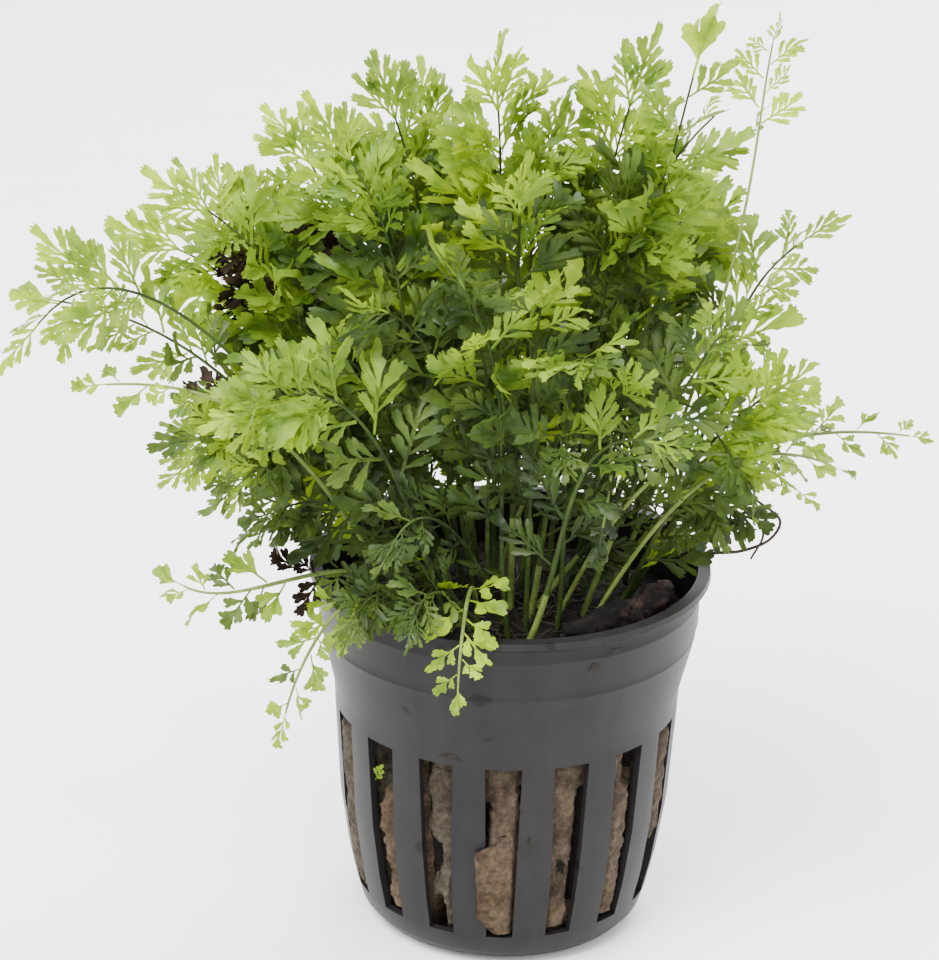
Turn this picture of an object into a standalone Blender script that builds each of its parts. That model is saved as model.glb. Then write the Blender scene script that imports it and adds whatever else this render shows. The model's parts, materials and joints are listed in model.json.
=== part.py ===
"""Potted African water fern: a slotted net pot, a mineral wool plug, a rhizome, wiry roots and fronds.

Sizes are worked out in millimetres and written to the meshes in metres. Z is up, the pot stands on the
floor at Z = 0 and its axis is the Z axis. The front of the pot faces -Y. Each frond is one closed body:
a three-sided stalk whose side faces grow into wedge leaflets with lobed ends.
"""
import math
from collections import namedtuple

import bmesh
import bpy
import numpy as np
from mathutils import Vector
from mathutils.bvhtree import BVHTree

MM = 0.001
GAP = 0.3  # clear space kept between separate pieces
UP = np.array([0.0, 0.0, 1.0])
HORIZONTAL = np.array([1.0, 1.0, 0.0])

# Net pot: profiles are (radius, height) pairs
SLOT_COUNT = 16
SLOT_BOTTOM_HALF_WIDTH = 1.7
SLOT_TOP_HALF_WIDTH = 2.35
SLOT_BOTTOM_Z = 5.0
SLOT_TOP_Z = 31.0
WALL = 1.1
RIM_Z = 50.0
RIM_RADIUS = 26.0
BASE_THICKNESS = 1.4
POT_BELOW_SLOTS = [(15.5, 0.0), (17.8, 1.0), (19.0, 2.4)]
POT_SLOT_ROWS = [(19.75, SLOT_BOTTOM_Z), (20.8, 10.0), (21.9, 18.0), (22.6, SLOT_TOP_Z)]
POT_ABOVE_SLOTS = [(22.7, 33.8), (24.2, 40.2), (24.7, 43.0), (24.75, 48.3), (RIM_RADIUS, 49.2),
                   (RIM_RADIUS - 0.1, RIM_Z)]
POT_INSIDE_ABOVE = [(24.3, RIM_Z), (23.6, 42.8), (21.6, 34.2)]
POT_INSIDE_BELOW = [(17.6, 2.6), (16.6, BASE_THICKNESS)]

# Mineral wool plug: ring heights, and the space left to the pot's inner wall at a rib and at a slot
WOOL_BOTTOM = (16.0, 1.8)
WOOL_ROWS = [11.0, 34.2, 43.2]
WOOL_RIB_SPACE = 0.55
WOOL_SLOT_SPACE = 0.3
WOOL_UNEVEN = 0.12
WOOL_SHOULDER = (15.0, 44.4)
WOOL_CROWN_Z = 45.2

# Rhizome: centre line and radii, lying on the wool inside the right of the rim
RHIZOME_LINE = [(7.0, -15.0, 47.0), (10.5, -14.2, 47.2), (14.0, -12.0, 47.6), (17.2, -8.6, 47.6),
                (19.2, -4.6, 47.4), (20.2, -1.0, 47.2)]
RHIZOME_RADII = [0.9, 1.9, 2.3, 1.8, 2.1, 1.0]
RHIZOME_SIDES = 6

# Wiry roots that loop out over the right of the rim
ROOT_RADIUS = 0.28
ROOT_SIDES = 3
ROOTS = {
    "root_loop": [(21.6, 1.6, 47.6), (22.6, 1.6, 50.2), (26.0, 1.0, 51.2), (29.8, 0.4, 51.9),
                  (33.2, 0.0, 53.7), (34.4, 0.2, 56.4), (31.6, 0.8, 58.6), (29.2, 1.0, 60.4)],
    "root_free_end": [(22.4, 5.0, 47.8), (23.8, 5.0, 51.6), (27.4, 4.2, 55.8), (30.4, 3.2, 56.6),
                      (32.6, 2.4, 53.6), (31.2, 2.2, 50.0)],
}

# Frond stalks: half widths at the base, where the leaflets start and at the tip
STALK_BASE = 0.55
STALK_BLADE = 0.4
STALK_TIP = 0.26
STALK_BARE_SEGMENTS = 2
STALK_KEEL = 1.35  # depth of the keel and rise of the upper edges, in half widths
STALK_RISE = 0.35

# A stalk's cubic curve: how far its two inner control points stand from the ends, as shares of the straight
# reach, and how much of a step sideways or upwards the first and the second one take
STALK_START_PULL = 0.42
STALK_END_PULL = 0.33
STALK_START_SIDE = 0.5
STALK_END_RISE = 0.7

# Where stalks may stand: a sunflower spread of seats on the wool, cleared round the rhizome. Each frond
# stands on the free seat nearest to its own tip, pulled in by a share.
SEAT_COUNT = 66
SEAT_RADIUS = 17.0
SEAT_CLEAR = 3.4
SEAT_PULL = 0.36
GOLDEN_ANGLE = math.radians(137.50776)

# A frond: its tip, its pitch at the tip in degrees, its lean at the foot, the share of its length that is
# bare, its leaflets' length and count, the roll of its blade in degrees and the lobes of each leaflet
Frond = namedtuple("Frond", "x y z pitch lean bare leaf count roll lobes")

# The placed fronds, round the crown from the left, then the low ones, then those in front
FRONDS = [
    (-62.5, -5.0, 86.3, 8.0, 0.45, 0.30, 8.5, 10, 60.0, 3),
    (-62.5, -13.0, 79.5, -50.0, 0.5, 0.72, 10.0, 4, 55.0, 3),
    (-53.0, -18.0, 80.5, 20.0, 0.85, 0.34, 5.5, 9, 45.0, 2),
    (-45.5, 2.0, 100.0, 34.0, 0.35, 0.28, 12.0, 10, 60.0, 3),
    (-50.5, 4.0, 93.0, 24.0, 0.45, 0.28, 12.0, 10, 60.0, 3),
    (-37.0, 8.0, 98.8, 45.0, 0.3, 0.28, 11.5, 10, 60.0, 3),
    (-31.5, 6.0, 108.0, 52.0, 0.25, 0.30, 12.5, 10, 55.0, 3),
    (-25.5, 0.0, 110.0, 55.0, 0.25, 0.30, 12.0, 9, 65.0, 3),
    (-18.5, 8.0, 114.0, 68.0, 0.2, 0.32, 12.0, 10, 60.0, 3),
    (-13.0, 13.0, 111.5, 75.0, 0.15, 0.34, 11.5, 9, 35.0, 3),
    (-3.5, -2.0, 119.0, 80.0, 0.1, 0.32, 14.0, 10, -60.0, 3),
    (5.5, 2.0, 112.0, 75.0, 0.1, 0.30, 12.0, 10, 75.0, 3),
    (15.5, 4.0, 117.5, 74.0, 0.15, 0.32, 12.5, 10, -60.0, 3),
    (22.2, 0.0, 122.3, 78.0, 0.2, 0.34, 12.5, 9, 70.0, 3),
    (28.0, 0.0, 113.5, 45.0, 0.2, 0.6, 9.5, 6, -70.0, 3),
    (30.5, 3.0, 121.0, 80.0, 0.65, 0.72, 6.0, 7, -25.0, 3),
    (38.5, 0.0, 98.0, 50.0, 0.7, 0.60, 9.5, 6, -35.0, 3),
    (27.5, 10.0, 97.0, 50.0, 0.3, 0.28, 11.0, 9, -40.0, 3),
    (27.0, -14.0, 90.5, 60.0, 0.3, 0.28, 12.0, 9, 75.0, 3),
    (36.5, -12.0, 82.0, 40.0, 0.45, 0.26, 12.5, 10, 75.0, 3),
    (53.0, 0.0, 68.8, 10.0, 0.65, 0.38, 4.6, 10, -40.0, 2),
    (44.0, -5.0, 65.8, -6.0, 0.75, 0.36, 6.0, 9, -40.0, 2),
    (39.0, -10.0, 63.8, -12.0, 0.8, 0.36, 5.5, 8, -30.0, 2),
    (33.0, -9.0, 59.0, -20.0, 0.6, 0.30, 9.5, 7, -70.0, 3),
    (-44.5, -11.0, 52.5, 38.0, 0.88, 0.36, 5.8, 10, 45.0, 2),
    (-29.0, -23.0, 34.5, -62.0, 0.7, 0.42, 5.5, 9, 10.0, 2),
    (-6.0, -32.0, 43.5, -58.0, 0.6, 0.36, 5.2, 10, -10.0, 2),
    (-36.5, -27.0, 77.5, -14.0, 0.35, 0.32, 12.5, 9, 70.0, 3),
    (-45.0, -9.0, 68.0, -10.0, 0.6, 0.26, 10.0, 9, 65.0, 3),
    (-45.5, -4.0, 62.5, -20.0, 0.7, 0.30, 10.0, 9, 70.0, 3),
    (-35.0, -14.0, 57.0, -35.0, 0.6, 0.30, 10.0, 8, 60.0, 3),
    (-20.0, -28.0, 49.5, -60.0, 0.5, 0.34, 6.5, 9, 55.0, 3),
    (-12.5, -29.5, 50.5, -55.0, 0.45, 0.34, 6.5, 9, 50.0, 3),
    (-16.5, -25.0, 58.0, -45.0, 0.35, 0.26, 8.0, 9, 55.0, 3),
    (0.0, -14.0, 107.5, 70.0, 0.15, 0.26, 12.0, 10, -20.0, 3),
    (3.5, -23.0, 96.0, 45.0, 0.2, 0.26, 12.0, 10, 5.0, 3),
    (10.0, -26.0, 85.5, 10.0, 0.25, 0.26, 11.0, 9, -15.0, 3),
    (7.5, -23.0, 70.5, -20.0, 0.35, 0.26, 8.6, 9, 15.0, 3),
    (-5.5, -22.0, 88.0, 30.0, 0.2, 0.26, 11.2, 10, -35.0, 3),
    (-20.0, -18.0, 91.5, 30.0, 0.3, 0.26, 11.5, 10, -55.0, 3),
    (-10.5, -13.0, 98.0, 60.0, 0.15, 0.26, 12.0, 10, -40.0, 3),
    (23.0, -22.0, 74.5, 0.0, 0.45, 0.26, 10.6, 9, -70.0, 3),
    (16.5, -20.0, 83.0, 35.0, 0.3, 0.26, 11.2, 9, 70.0, 3),
    (-27.5, -21.0, 85.0, 15.0, 0.35, 0.28, 11.2, 9, -55.0, 3),
    (14.5, -4.0, 105.0, 70.0, 0.15, 0.26, 12.0, 10, 50.0, 3),
    (-37.0, -21.0, 66.0, -10.0, 0.5, 0.28, 9.0, 9, 70.0, 3),
    (31.0, -18.0, 68.0, -5.0, 0.5, 0.28, 9.0, 9, -70.0, 3),
    (13.0, -24.0, 60.5, -35.0, 0.4, 0.34, 7.0, 8, -15.0, 2),
]

# Fronds behind the crown, spread by one rule: headings in degrees from first to last, with a reach and a
# height from each list in turn. A higher frond points up by as many degrees as it is millimetres higher.
BACK_COUNT = 7
BACK_HEADINGS = (52.0, 156.0)
BACK_REACH = (42.0, 31.0, 48.0)
BACK_HEIGHT = (74.0, 94.0, 85.0)
BACK_PITCH = 12.0
BACK_LEAN = 0.45
BACK_BARE = 0.3
BACK_LEAF = 11.5
BACK_LEAFLETS = 9
BACK_ROLL = 40.0
BACK_LOBES = 3

# Other stalk courses to try when the first one is not free: steps sideways and upwards in millimetres
STALK_SIDE_STEPS = [1.5 * k for k in range(-6, 7)]
STALK_UP_STEPS = [2.0 * k for k in range(-2, 10)]
UP_STEP_WEIGHT = 0.8

# Other leaflet places to try, in turn: change of sweep, tilt upwards, both in degrees, and length factor
LEAFLET_TRIES = [(0, 0, 1.0), (0, 16, 1.0), (0, -16, 1.0), (-10, 0, 1.0), (10, 0, 0.95), (0, 32, 0.95),
                 (0, -34, 0.95), (-12, 22, 0.85), (-12, -22, 0.85), (0, -52, 0.85), (0, 0, 0.75),
                 (14, 20, 0.7), (14, -20, 0.7), (0, 40, 0.7), (0, -70, 0.7), (-8, 0, 0.58), (0, 30, 0.55),
                 (0, -30, 0.55), (0, -60, 0.5), (0, 0, 0.42)]
LEAFLET_SWEEP = 50.0
LEAFLET_DROOP = 0.12
LEAFLET_HALF_WIDTH = 0.34
LEAFLET_TAPER = 0.42  # how much shorter the leaflets are at a frond's tip
LEAFLET_VARIATION = (0.86, 1.14)
LEAFLET_ROOT_SHARE = 0.3  # share of a leaflet next to its own stalk that the free-space test leaves out
FAN_SHARE = 0.72
FAN_HALF_WIDTH = 0.42

# Lobe tips and notches round a leaflet's end: shares of its length and of its half width
THREE_LOBES = [(0.58, -1.0), (0.54, -0.36), (1.0, 0.1), (0.7, 1.0)]
TWO_LOBES = [(0.74, -0.9), (0.6, -0.05), (1.0, 0.75)]

# Colour and roughness of each material
MATERIALS = {
    "pot_plastic": ((0.085, 0.08, 0.085), 0.42),
    "mineral_wool": ((0.32, 0.24, 0.15), 0.95),
    "rhizome": ((0.10, 0.05, 0.03), 0.7),
    "root": ((0.05, 0.035, 0.03), 0.6),
    "frond": ((0.13, 0.30, 0.045), 0.5),
}


def spread(a, b):
    """A fixed value from 0 to 1 for a pair of whole numbers."""
    value = math.sin(a * 12.9898 + b * 78.233) * 43758.5453
    return value - math.floor(value)


def unit(v):
    return v / np.linalg.norm(v)


def clear_scene():
    for ob in list(bpy.data.objects):
        bpy.data.objects.remove(ob, do_unlink=True)


def material(name, colour, roughness):
    mat = bpy.data.materials.new(name)
    mat.use_nodes = True
    shader = mat.node_tree.nodes["Principled BSDF"]
    shader.inputs["Base Color"].default_value = (*colour, 1.0)
    shader.inputs["Roughness"].default_value = roughness
    return mat


def add_node(name, points, faces, mat, turn_out=True):
    """A closed body from points in millimetres; turn_out turns faces outward that are not so yet."""
    mesh = bpy.data.meshes.new(name)
    mesh.from_pydata([tuple(float(c) * MM for c in p) for p in points], [], faces)
    bm = bmesh.new()
    bm.from_mesh(mesh)
    bmesh.ops.triangulate(bm, faces=bm.faces)
    if turn_out:
        bmesh.ops.recalc_face_normals(bm, faces=bm.faces)
    bm.to_mesh(mesh)
    bm.free()
    mesh.materials.append(mat)
    ob = bpy.data.objects.new(name, mesh)
    bpy.context.scene.collection.objects.link(ob)
    return ob


# Net pot

def slot_edge_points(radius, z):
    """The 32 corners of one level: both edges of every slot, at the slot's width there."""
    half_width = slot_half_width(z)
    depth = math.sqrt(radius ** 2 - half_width ** 2)
    points = []
    for k in range(SLOT_COUNT):
        angle = 2 * math.pi * k / SLOT_COUNT
        out = np.array([math.sin(angle), -math.cos(angle)])
        along = np.array([math.cos(angle), math.sin(angle)])
        for side in (-1, 1):
            xy = out * depth + along * side * half_width
            points.append((xy[0], xy[1], z))
    return points


def build_pot(mat):
    below, band, above, inside_above = POT_BELOW_SLOTS, POT_SLOT_ROWS, POT_ABOVE_SLOTS, POT_INSIDE_ABOVE
    inside_band = [(r - WALL, z) for r, z in reversed(band)]
    profile = below + band + above + inside_above + inside_band + POT_INSIDE_BELOW
    outer_first = len(below)
    outer_last = outer_first + len(band) - 1
    inner_first = len(below) + len(band) + len(above) + len(inside_above)
    inner_last = inner_first + len(band) - 1
    points = []
    for r, z in profile:
        points += slot_edge_points(r, z)
    columns = 2 * SLOT_COUNT

    def at(row, column):
        return row * columns + column % columns

    faces = []
    for row in range(len(profile) - 1):
        in_band = outer_first <= row < outer_last or inner_first <= row < inner_last
        for column in range(columns):
            is_slot = column % 2 == 0
            if in_band and is_slot:
                continue
            faces.append((at(row, column), at(row, column + 1), at(row + 1, column + 1), at(row + 1, column)))
    for column in range(0, columns, 2):
        bottom = (at(outer_first, column), at(outer_first, column + 1), at(inner_last, column + 1),
                  at(inner_last, column))
        top = (at(outer_last, column), at(outer_last, column + 1), at(inner_first, column + 1),
               at(inner_first, column))
        faces += [bottom, top]
        for edge in (column, column + 1):
            for step in range(len(band) - 1):
                faces.append((at(outer_first + step, edge), at(outer_first + step + 1, edge),
                              at(inner_last - step - 1, edge), at(inner_last - step, edge)))
    faces.append(tuple(at(0, column) for column in range(columns)))
    faces.append(tuple(at(len(profile) - 1, column) for column in range(columns)))
    return add_node("net_pot", points, faces, mat)


# Mineral wool

def slot_half_width(z):
    """The slots narrow towards the pot's base."""
    heights = [SLOT_BOTTOM_Z, SLOT_TOP_Z]
    return float(np.interp(z, heights, [SLOT_BOTTOM_HALF_WIDTH, SLOT_TOP_HALF_WIDTH]))


def inner_radius(z):
    """Radius of the pot's inner wall at the slots' edges."""
    rows = POT_INSIDE_BELOW[:1] + [(r - WALL, h) for r, h in POT_SLOT_ROWS] + POT_INSIDE_ABOVE[::-1]
    return float(np.interp(z, [h for _, h in rows], [r for r, _ in rows]))


def wool_radius(z, at_slot):
    """Radius of the plug behind a slot or behind a rib, whose flat inner face lies nearer to the axis."""
    radius = inner_radius(z)
    if at_slot:
        return radius - WOOL_SLOT_SPACE
    rib_half_angle = math.pi / SLOT_COUNT - math.asin(slot_half_width(z) / radius)
    return radius * math.cos(rib_half_angle) - WOOL_RIB_SPACE


def build_wool(mat):
    columns = 2 * SLOT_COUNT
    levels = [WOOL_BOTTOM] + [(None, z) for z in WOOL_ROWS] + [WOOL_SHOULDER]
    points = []
    for row, (radius, z) in enumerate(levels):
        for column in range(columns):
            angle = 2 * math.pi * column / columns
            r = radius
            if radius is None:
                r = wool_radius(z, column % 2 == 0) - WOOL_UNEVEN * spread(row, column)
            points.append((r * math.sin(angle), -r * math.cos(angle), z))
    faces = []
    for row in range(len(levels) - 1):
        for column in range(columns):
            a = row * columns + column
            b = row * columns + (column + 1) % columns
            faces.append((a, b, b + columns, a + columns))
    faces.append(tuple(range(columns)))
    crown = len(points)
    points.append((0.0, 0.0, WOOL_CROWN_Z))
    last = (len(levels) - 1) * columns
    for column in range(columns):
        faces.append((last + column, last + (column + 1) % columns, crown))
    return add_node("mineral_wool", points, faces, mat)


# Rhizome and roots

def tube(line, radii, sides):
    """Points and faces of a closed tube along a line of points."""
    line = [np.array(p, float) for p in line]
    points = []
    for i, centre in enumerate(line):
        along = unit(line[min(i + 1, len(line) - 1)] - line[max(i - 1, 0)])
        across = unit(np.cross(along, (0.0, 0.0, 1.0)))
        over = np.cross(across, along)
        for k in range(sides):
            angle = 2 * math.pi * k / sides
            points.append(centre + radii[i] * (across * math.cos(angle) + over * math.sin(angle)))
    faces = [tuple(range(sides)), tuple((len(line) - 1) * sides + k for k in range(sides))]
    for i in range(len(line) - 1):
        for k in range(sides):
            a = i * sides + k
            b = i * sides + (k + 1) % sides
            faces.append((a, b, b + sides, a + sides))
    return points, faces


# Fronds

def all_fronds():
    """The placed fronds, then the ones behind the crown."""
    plans = [Frond(*row) for row in FRONDS]
    for k in range(BACK_COUNT):
        heading = math.radians(np.interp(k, [0, BACK_COUNT - 1], BACK_HEADINGS))
        reach = BACK_REACH[k % len(BACK_REACH)]
        height = BACK_HEIGHT[(k + 1) % len(BACK_HEIGHT)]
        pitch = BACK_PITCH + height - min(BACK_HEIGHT)
        roll = BACK_ROLL * (spread(k, 3) - 0.5)
        plans.append(Frond(reach * math.cos(heading), reach * math.sin(heading), height, pitch, BACK_LEAN,
                           BACK_BARE, BACK_LEAF, BACK_LEAFLETS, roll, BACK_LOBES))
    return plans


def wool_top(radius):
    """Height of the wool's top at a distance from the pot's axis."""
    edge_z = WOOL_ROWS[-1]
    radii = [0.0, WOOL_SHOULDER[0], wool_radius(edge_z, False)]
    return float(np.interp(radius, radii, [WOOL_CROWN_Z, WOOL_SHOULDER[1], edge_z]))


def frond_seats(plans):
    """A standing place for each frond: the free seat nearest to a point pulled in from its tip."""
    seats = []
    for k in range(SEAT_COUNT):
        radius = SEAT_RADIUS * math.sqrt((k + 0.5) / SEAT_COUNT)
        xy = np.array([radius * math.cos(k * GOLDEN_ANGLE), radius * math.sin(k * GOLDEN_ANGLE)])
        if min(np.linalg.norm(xy - np.array(p[:2])) for p in RHIZOME_LINE) > SEAT_CLEAR:
            seats.append(xy)
    chosen = []
    for plan in plans:
        wish = np.array([plan.x, plan.y]) * SEAT_PULL
        if np.linalg.norm(wish) > SEAT_RADIUS:
            wish = unit(wish) * SEAT_RADIUS
        best = min(range(len(seats)), key=lambda i: np.linalg.norm(seats[i] - wish))
        chosen.append(seats.pop(best))
    return chosen


def stalk_course(plan, seat, sideways, upward):
    """Control points of a stalk's cubic curve, from its seat to the foot of the end fan."""
    foot = np.array([seat[0], seat[1], wool_top(np.linalg.norm(seat)) + GAP])
    tip = np.array([plan.x, plan.y, plan.z])
    heading = unit((tip - foot) * HORIZONTAL)
    pitch = math.radians(plan.pitch)
    end = heading * math.cos(pitch) + UP * math.sin(pitch)
    last = tip - end * plan.leaf * FAN_SHARE
    reach = np.linalg.norm(last - foot)
    start = unit(heading * plan.lean + UP)
    aside = np.cross(heading, UP) * sideways
    first = foot + start * reach * STALK_START_PULL + aside * STALK_START_SIDE + UP * upward
    second = last - end * reach * STALK_END_PULL + aside + UP * upward * STALK_END_RISE
    return foot, first, second, last, heading


def stalk_rings(plan, course):
    """Frames along the stalk: centre, direction, side, up and half width at each ring."""
    foot, first, second, last, heading = course
    bare, count, roll = plan.bare, plan.count, math.radians(plan.roll)
    steps = [bare * k / STALK_BARE_SEGMENTS for k in range(STALK_BARE_SEGMENTS)]
    steps += [bare + (1 - bare) * k / count for k in range(count + 1)]
    rings = []
    for s in steps:
        r = 1 - s
        centre = r ** 3 * foot + 3 * s * r ** 2 * first + 3 * s ** 2 * r * second + s ** 3 * last
        along = unit(r ** 2 * (first - foot) + 2 * s * r * (second - first) + s ** 2 * (last - second))
        upper = UP - heading
        upper = unit(upper - along * np.dot(upper, along))
        side = np.cross(along, upper)
        turned = side * math.cos(roll) + upper * math.sin(roll)
        upper = upper * math.cos(roll) - side * math.sin(roll)
        width = np.interp(s, [0, bare, 1], [STALK_BASE, STALK_BLADE, STALK_TIP])
        rings.append((centre, along, turned, upper, width))
    return rings


def ring_corners(ring, grow=0.0):
    """Left, right and keel corners of one ring."""
    centre, _, side, upper, width = ring
    w = width + grow
    return [centre - side * w + upper * w * STALK_RISE, centre + side * w + upper * w * STALK_RISE,
            centre - upper * w * STALK_KEEL]


def stalk_shell(rings, grow=0.0):
    """Points and faces of the bare stalk, closed at both ends."""
    points = []
    for ring in rings:
        points += ring_corners(ring, grow)
    faces = [(0, 1, 2), tuple(3 * (len(rings) - 1) + k for k in (0, 2, 1))]
    for i in range(len(rings) - 1):
        for k in range(3):
            a, b = 3 * i + k, 3 * i + (k + 1) % 3
            faces.append((a, b, b + 3, a + 3))
    return points, faces


def leaflet_sizes(index, plan, slot):
    """Length and half width of a leaflet, shorter towards the frond's tip."""
    share = (slot + 0.5) / plan.count
    variation = np.interp(spread(index, slot), [0, 1], LEAFLET_VARIATION)
    length = plan.leaf * (1.0 - LEAFLET_TAPER * share ** 2) * variation
    return length, length * LEAFLET_HALF_WIDTH


def leaflet_frame(rings, slot, side, attempt):
    """Foot point and axes of a leaflet on one side of a stalk segment: out along, across, and upward."""
    sweep_change, tilt, _ = attempt
    a, b = rings[STALK_BARE_SEGMENTS + slot], rings[STALK_BARE_SEGMENTS + slot + 1]
    corner = 1 if side > 0 else 0
    foot = (ring_corners(a)[corner] + ring_corners(b)[corner]) / 2
    along = unit(a[1] + b[1])
    upper = unit(a[3] + b[3])
    sweep, tilt = math.radians(LEAFLET_SWEEP + sweep_change), math.radians(tilt)
    across = unit(np.cross(along, upper)) * side
    lateral = across * math.cos(tilt) + upper * math.sin(tilt)
    out = along * math.cos(sweep) + lateral * math.sin(sweep)
    broad = along * math.sin(sweep) - lateral * math.cos(sweep)
    face = upper * math.cos(tilt) - across * math.sin(tilt)
    return foot, out, broad, face


def lobe_points(frame, length, half_width, lobes):
    foot, out, broad, face = frame
    pattern = THREE_LOBES if lobes == 3 else TWO_LOBES
    return [foot + out * length * u + broad * half_width * v - face * length * LEAFLET_DROOP * u * u
            for u, v in pattern]


def top_triangles(first, last, tips):
    """Triangles of a lobed leaflet's flat side. Each has a foot corner, where the leaflet is thick."""
    if len(tips) == 3:
        return [(first, tips[0], tips[1]), (first, tips[1], last), (tips[1], tips[2], last)]
    return [(first, tips[0], tips[1]), (first, tips[1], tips[2]), (first, tips[2], last),
            (last, tips[2], tips[3])]


def leaflet_shell(corners, keels, tips, face, root_share=0.0, swell=0.0):
    """Points and faces round a leaflet, from a share of its length outwards and swollen a little."""
    centre = sum(tips) / len(tips)
    swollen = [t + unit(t - centre) * swell for t in tips]
    points = []
    for lift, base in ((1, corners), (-1, keels)):
        for corner, tip in zip(base, (swollen[0], swollen[-1])):
            points.append(corner + (tip - corner) * root_share + face * swell * lift)
        points += [t + face * swell * lift for t in swollen]
    count = len(tips)
    faces = []
    for start in (0, count + 2):
        faces += top_triangles(start, start + 1, [start + 2 + k for k in range(count)])
    outline = [0] + [2 + k for k in range(count)] + [1]
    for a, b in zip(outline, outline[1:] + outline[:1]):
        faces.append((a, b, b + count + 2, a + count + 2))
    return points, faces


def tree_of(points, faces):
    return BVHTree.FromPolygons([Vector(p) for p in points], [tuple(f) for f in faces])


def placed_piece(owner, points, faces):
    """A piece in its final place: whose it is, its bounds and its search tree."""
    stack = np.array(points)
    return owner, stack.min(axis=0), stack.max(axis=0), tree_of(points, faces)


def is_free(owner, shell, own_shell, placed):
    """True if the shell meets nothing of other pieces, and the own shell nothing of the same frond."""
    stack = np.array(shell[0])
    low, high = stack.min(axis=0), stack.max(axis=0)
    trees = {}
    for other, other_low, other_high, tree in placed:
        if np.any(low > other_high) or np.any(other_low > high):
            continue
        same = other == owner
        if same not in trees:
            trees[same] = tree_of(*(own_shell if same else shell))
        if trees[same].overlap(tree):
            return False
    return True


def stalk_tries():
    """Steps sideways and upwards, the smallest first."""
    tries = [(sideways, upward) for sideways in STALK_SIDE_STEPS for upward in STALK_UP_STEPS]
    return sorted(tries, key=lambda t: abs(t[0]) + abs(t[1]) * UP_STEP_WEIGHT)


def place_stalks(plans, seats, placed):
    """The first free course for each stalk."""
    stalks = []
    for index, (plan, seat) in enumerate(zip(plans, seats)):
        chosen = None
        for sideways, upward in stalk_tries():
            rings = stalk_rings(plan, stalk_course(plan, seat, sideways, upward))
            shell = stalk_shell(rings, GAP)
            if is_free(index, shell, shell, placed):
                chosen = rings
                placed.append(placed_piece(index, *stalk_shell(rings)))
                break
        stalks.append(chosen)
    return stalks


def leaflet_side(index, slot):
    return 1 if (slot + index) % 2 == 0 else -1


def place_leaflet(index, corners, keels, tips, face, placed):
    """Adds the leaflet to the placed pieces if its place is free."""
    shell = leaflet_shell(corners, keels, tips, face, 0.0, GAP)
    own_shell = leaflet_shell(corners, keels, tips, face, LEAFLET_ROOT_SHARE, GAP)
    if not is_free(index, shell, own_shell, placed):
        return False
    placed.append(placed_piece(index, *leaflet_shell(corners, keels, tips, face)))
    return True


def end_fan(plan, rings):
    """Lobe points of the leaflet that ends a frond."""
    centre, along, side, upper, _ = rings[-1]
    length = plan.leaf * FAN_SHARE
    return lobe_points((centre, along, side, upper), length, length * FAN_HALF_WIDTH, plan.lobes)


def place_leaflets(plans, stalks, placed):
    """For each frond, the lobe points of the end fan and of every leaflet that found a free place."""
    chosen = [{} for _ in plans]
    for index, (plan, rings) in enumerate(zip(plans, stalks)):
        if rings is not None:
            tips = end_fan(plan, rings)
            left, right, keel = ring_corners(rings[-1])
            if place_leaflet(index, [left, right], [keel, keel], tips, rings[-1][3], placed):
                chosen[index]["end"] = tips
    most = max(plan.count for plan in plans)
    for slot in range(most - 1, -1, -1):
        for index, (plan, rings) in enumerate(zip(plans, stalks)):
            if rings is None or slot >= plan.count:
                continue
            side = leaflet_side(index, slot)
            length, half_width = leaflet_sizes(index, plan, slot)
            corner = 1 if side > 0 else 0
            a = ring_corners(rings[STALK_BARE_SEGMENTS + slot])
            b = ring_corners(rings[STALK_BARE_SEGMENTS + slot + 1])
            for attempt in LEAFLET_TRIES:
                frame = leaflet_frame(rings, slot, side, attempt)
                tips = lobe_points(frame, length * attempt[2], half_width * attempt[2], plan.lobes)
                if place_leaflet(index, [a[corner], b[corner]], [a[2], b[2]], tips, frame[3], placed):
                    chosen[index][slot] = tips
                    break
    return chosen


def flipped(faces):
    return [tuple(reversed(face)) for face in faces]


def build_frond(name, index, rings, leaflets, mat):
    """One closed body: the stalk's rings, with a lobed wedge in place of each side face with a leaflet."""
    points = []
    for ring in rings:
        points += ring_corners(ring)
    faces = [(0, 2, 1)]

    def add_lobes(tips):
        first = len(points)
        points.extend(tips)
        return [first + k for k in range(len(tips))]

    for i in range(len(rings) - 1):
        left, right, keel = 3 * i, 3 * i + 1, 3 * i + 2
        slot = i - STALK_BARE_SEGMENTS
        side = leaflet_side(index, slot) if slot in leaflets else 0
        faces.append((left, right, right + 3, left + 3))
        for edge, sign in ((left, -1), (right, 1)):
            if side == sign:
                tips = add_lobes(leaflets[slot])
                grown = top_triangles(edge, edge + 3, tips)
                grown += flipped(top_triangles(keel, keel + 3, tips))
                grown += [(edge, keel, tips[0]), (edge + 3, tips[-1], keel + 3)]
            else:
                grown = [(edge + 3, edge, keel, keel + 3)]
            faces += grown if sign > 0 else flipped(grown)
    left = 3 * (len(rings) - 1)
    right, keel = left + 1, left + 2
    if "end" in leaflets:
        tips = add_lobes(leaflets["end"])
        faces += flipped(top_triangles(left, right, tips))
        faces += [(keel, a, b) for a, b in zip(tips, tips[1:])]
        faces += [(left, tips[0], keel), (right, keel, tips[-1])]
    else:
        faces.append((left, right, keel))
    return add_node(name, points, faces, mat, turn_out=False)


def placed_object(ob):
    points = [tuple(c / MM for c in v.co) for v in ob.data.vertices]
    return placed_piece(ob.name, points, [tuple(p.vertices) for p in ob.data.polygons])


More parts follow.
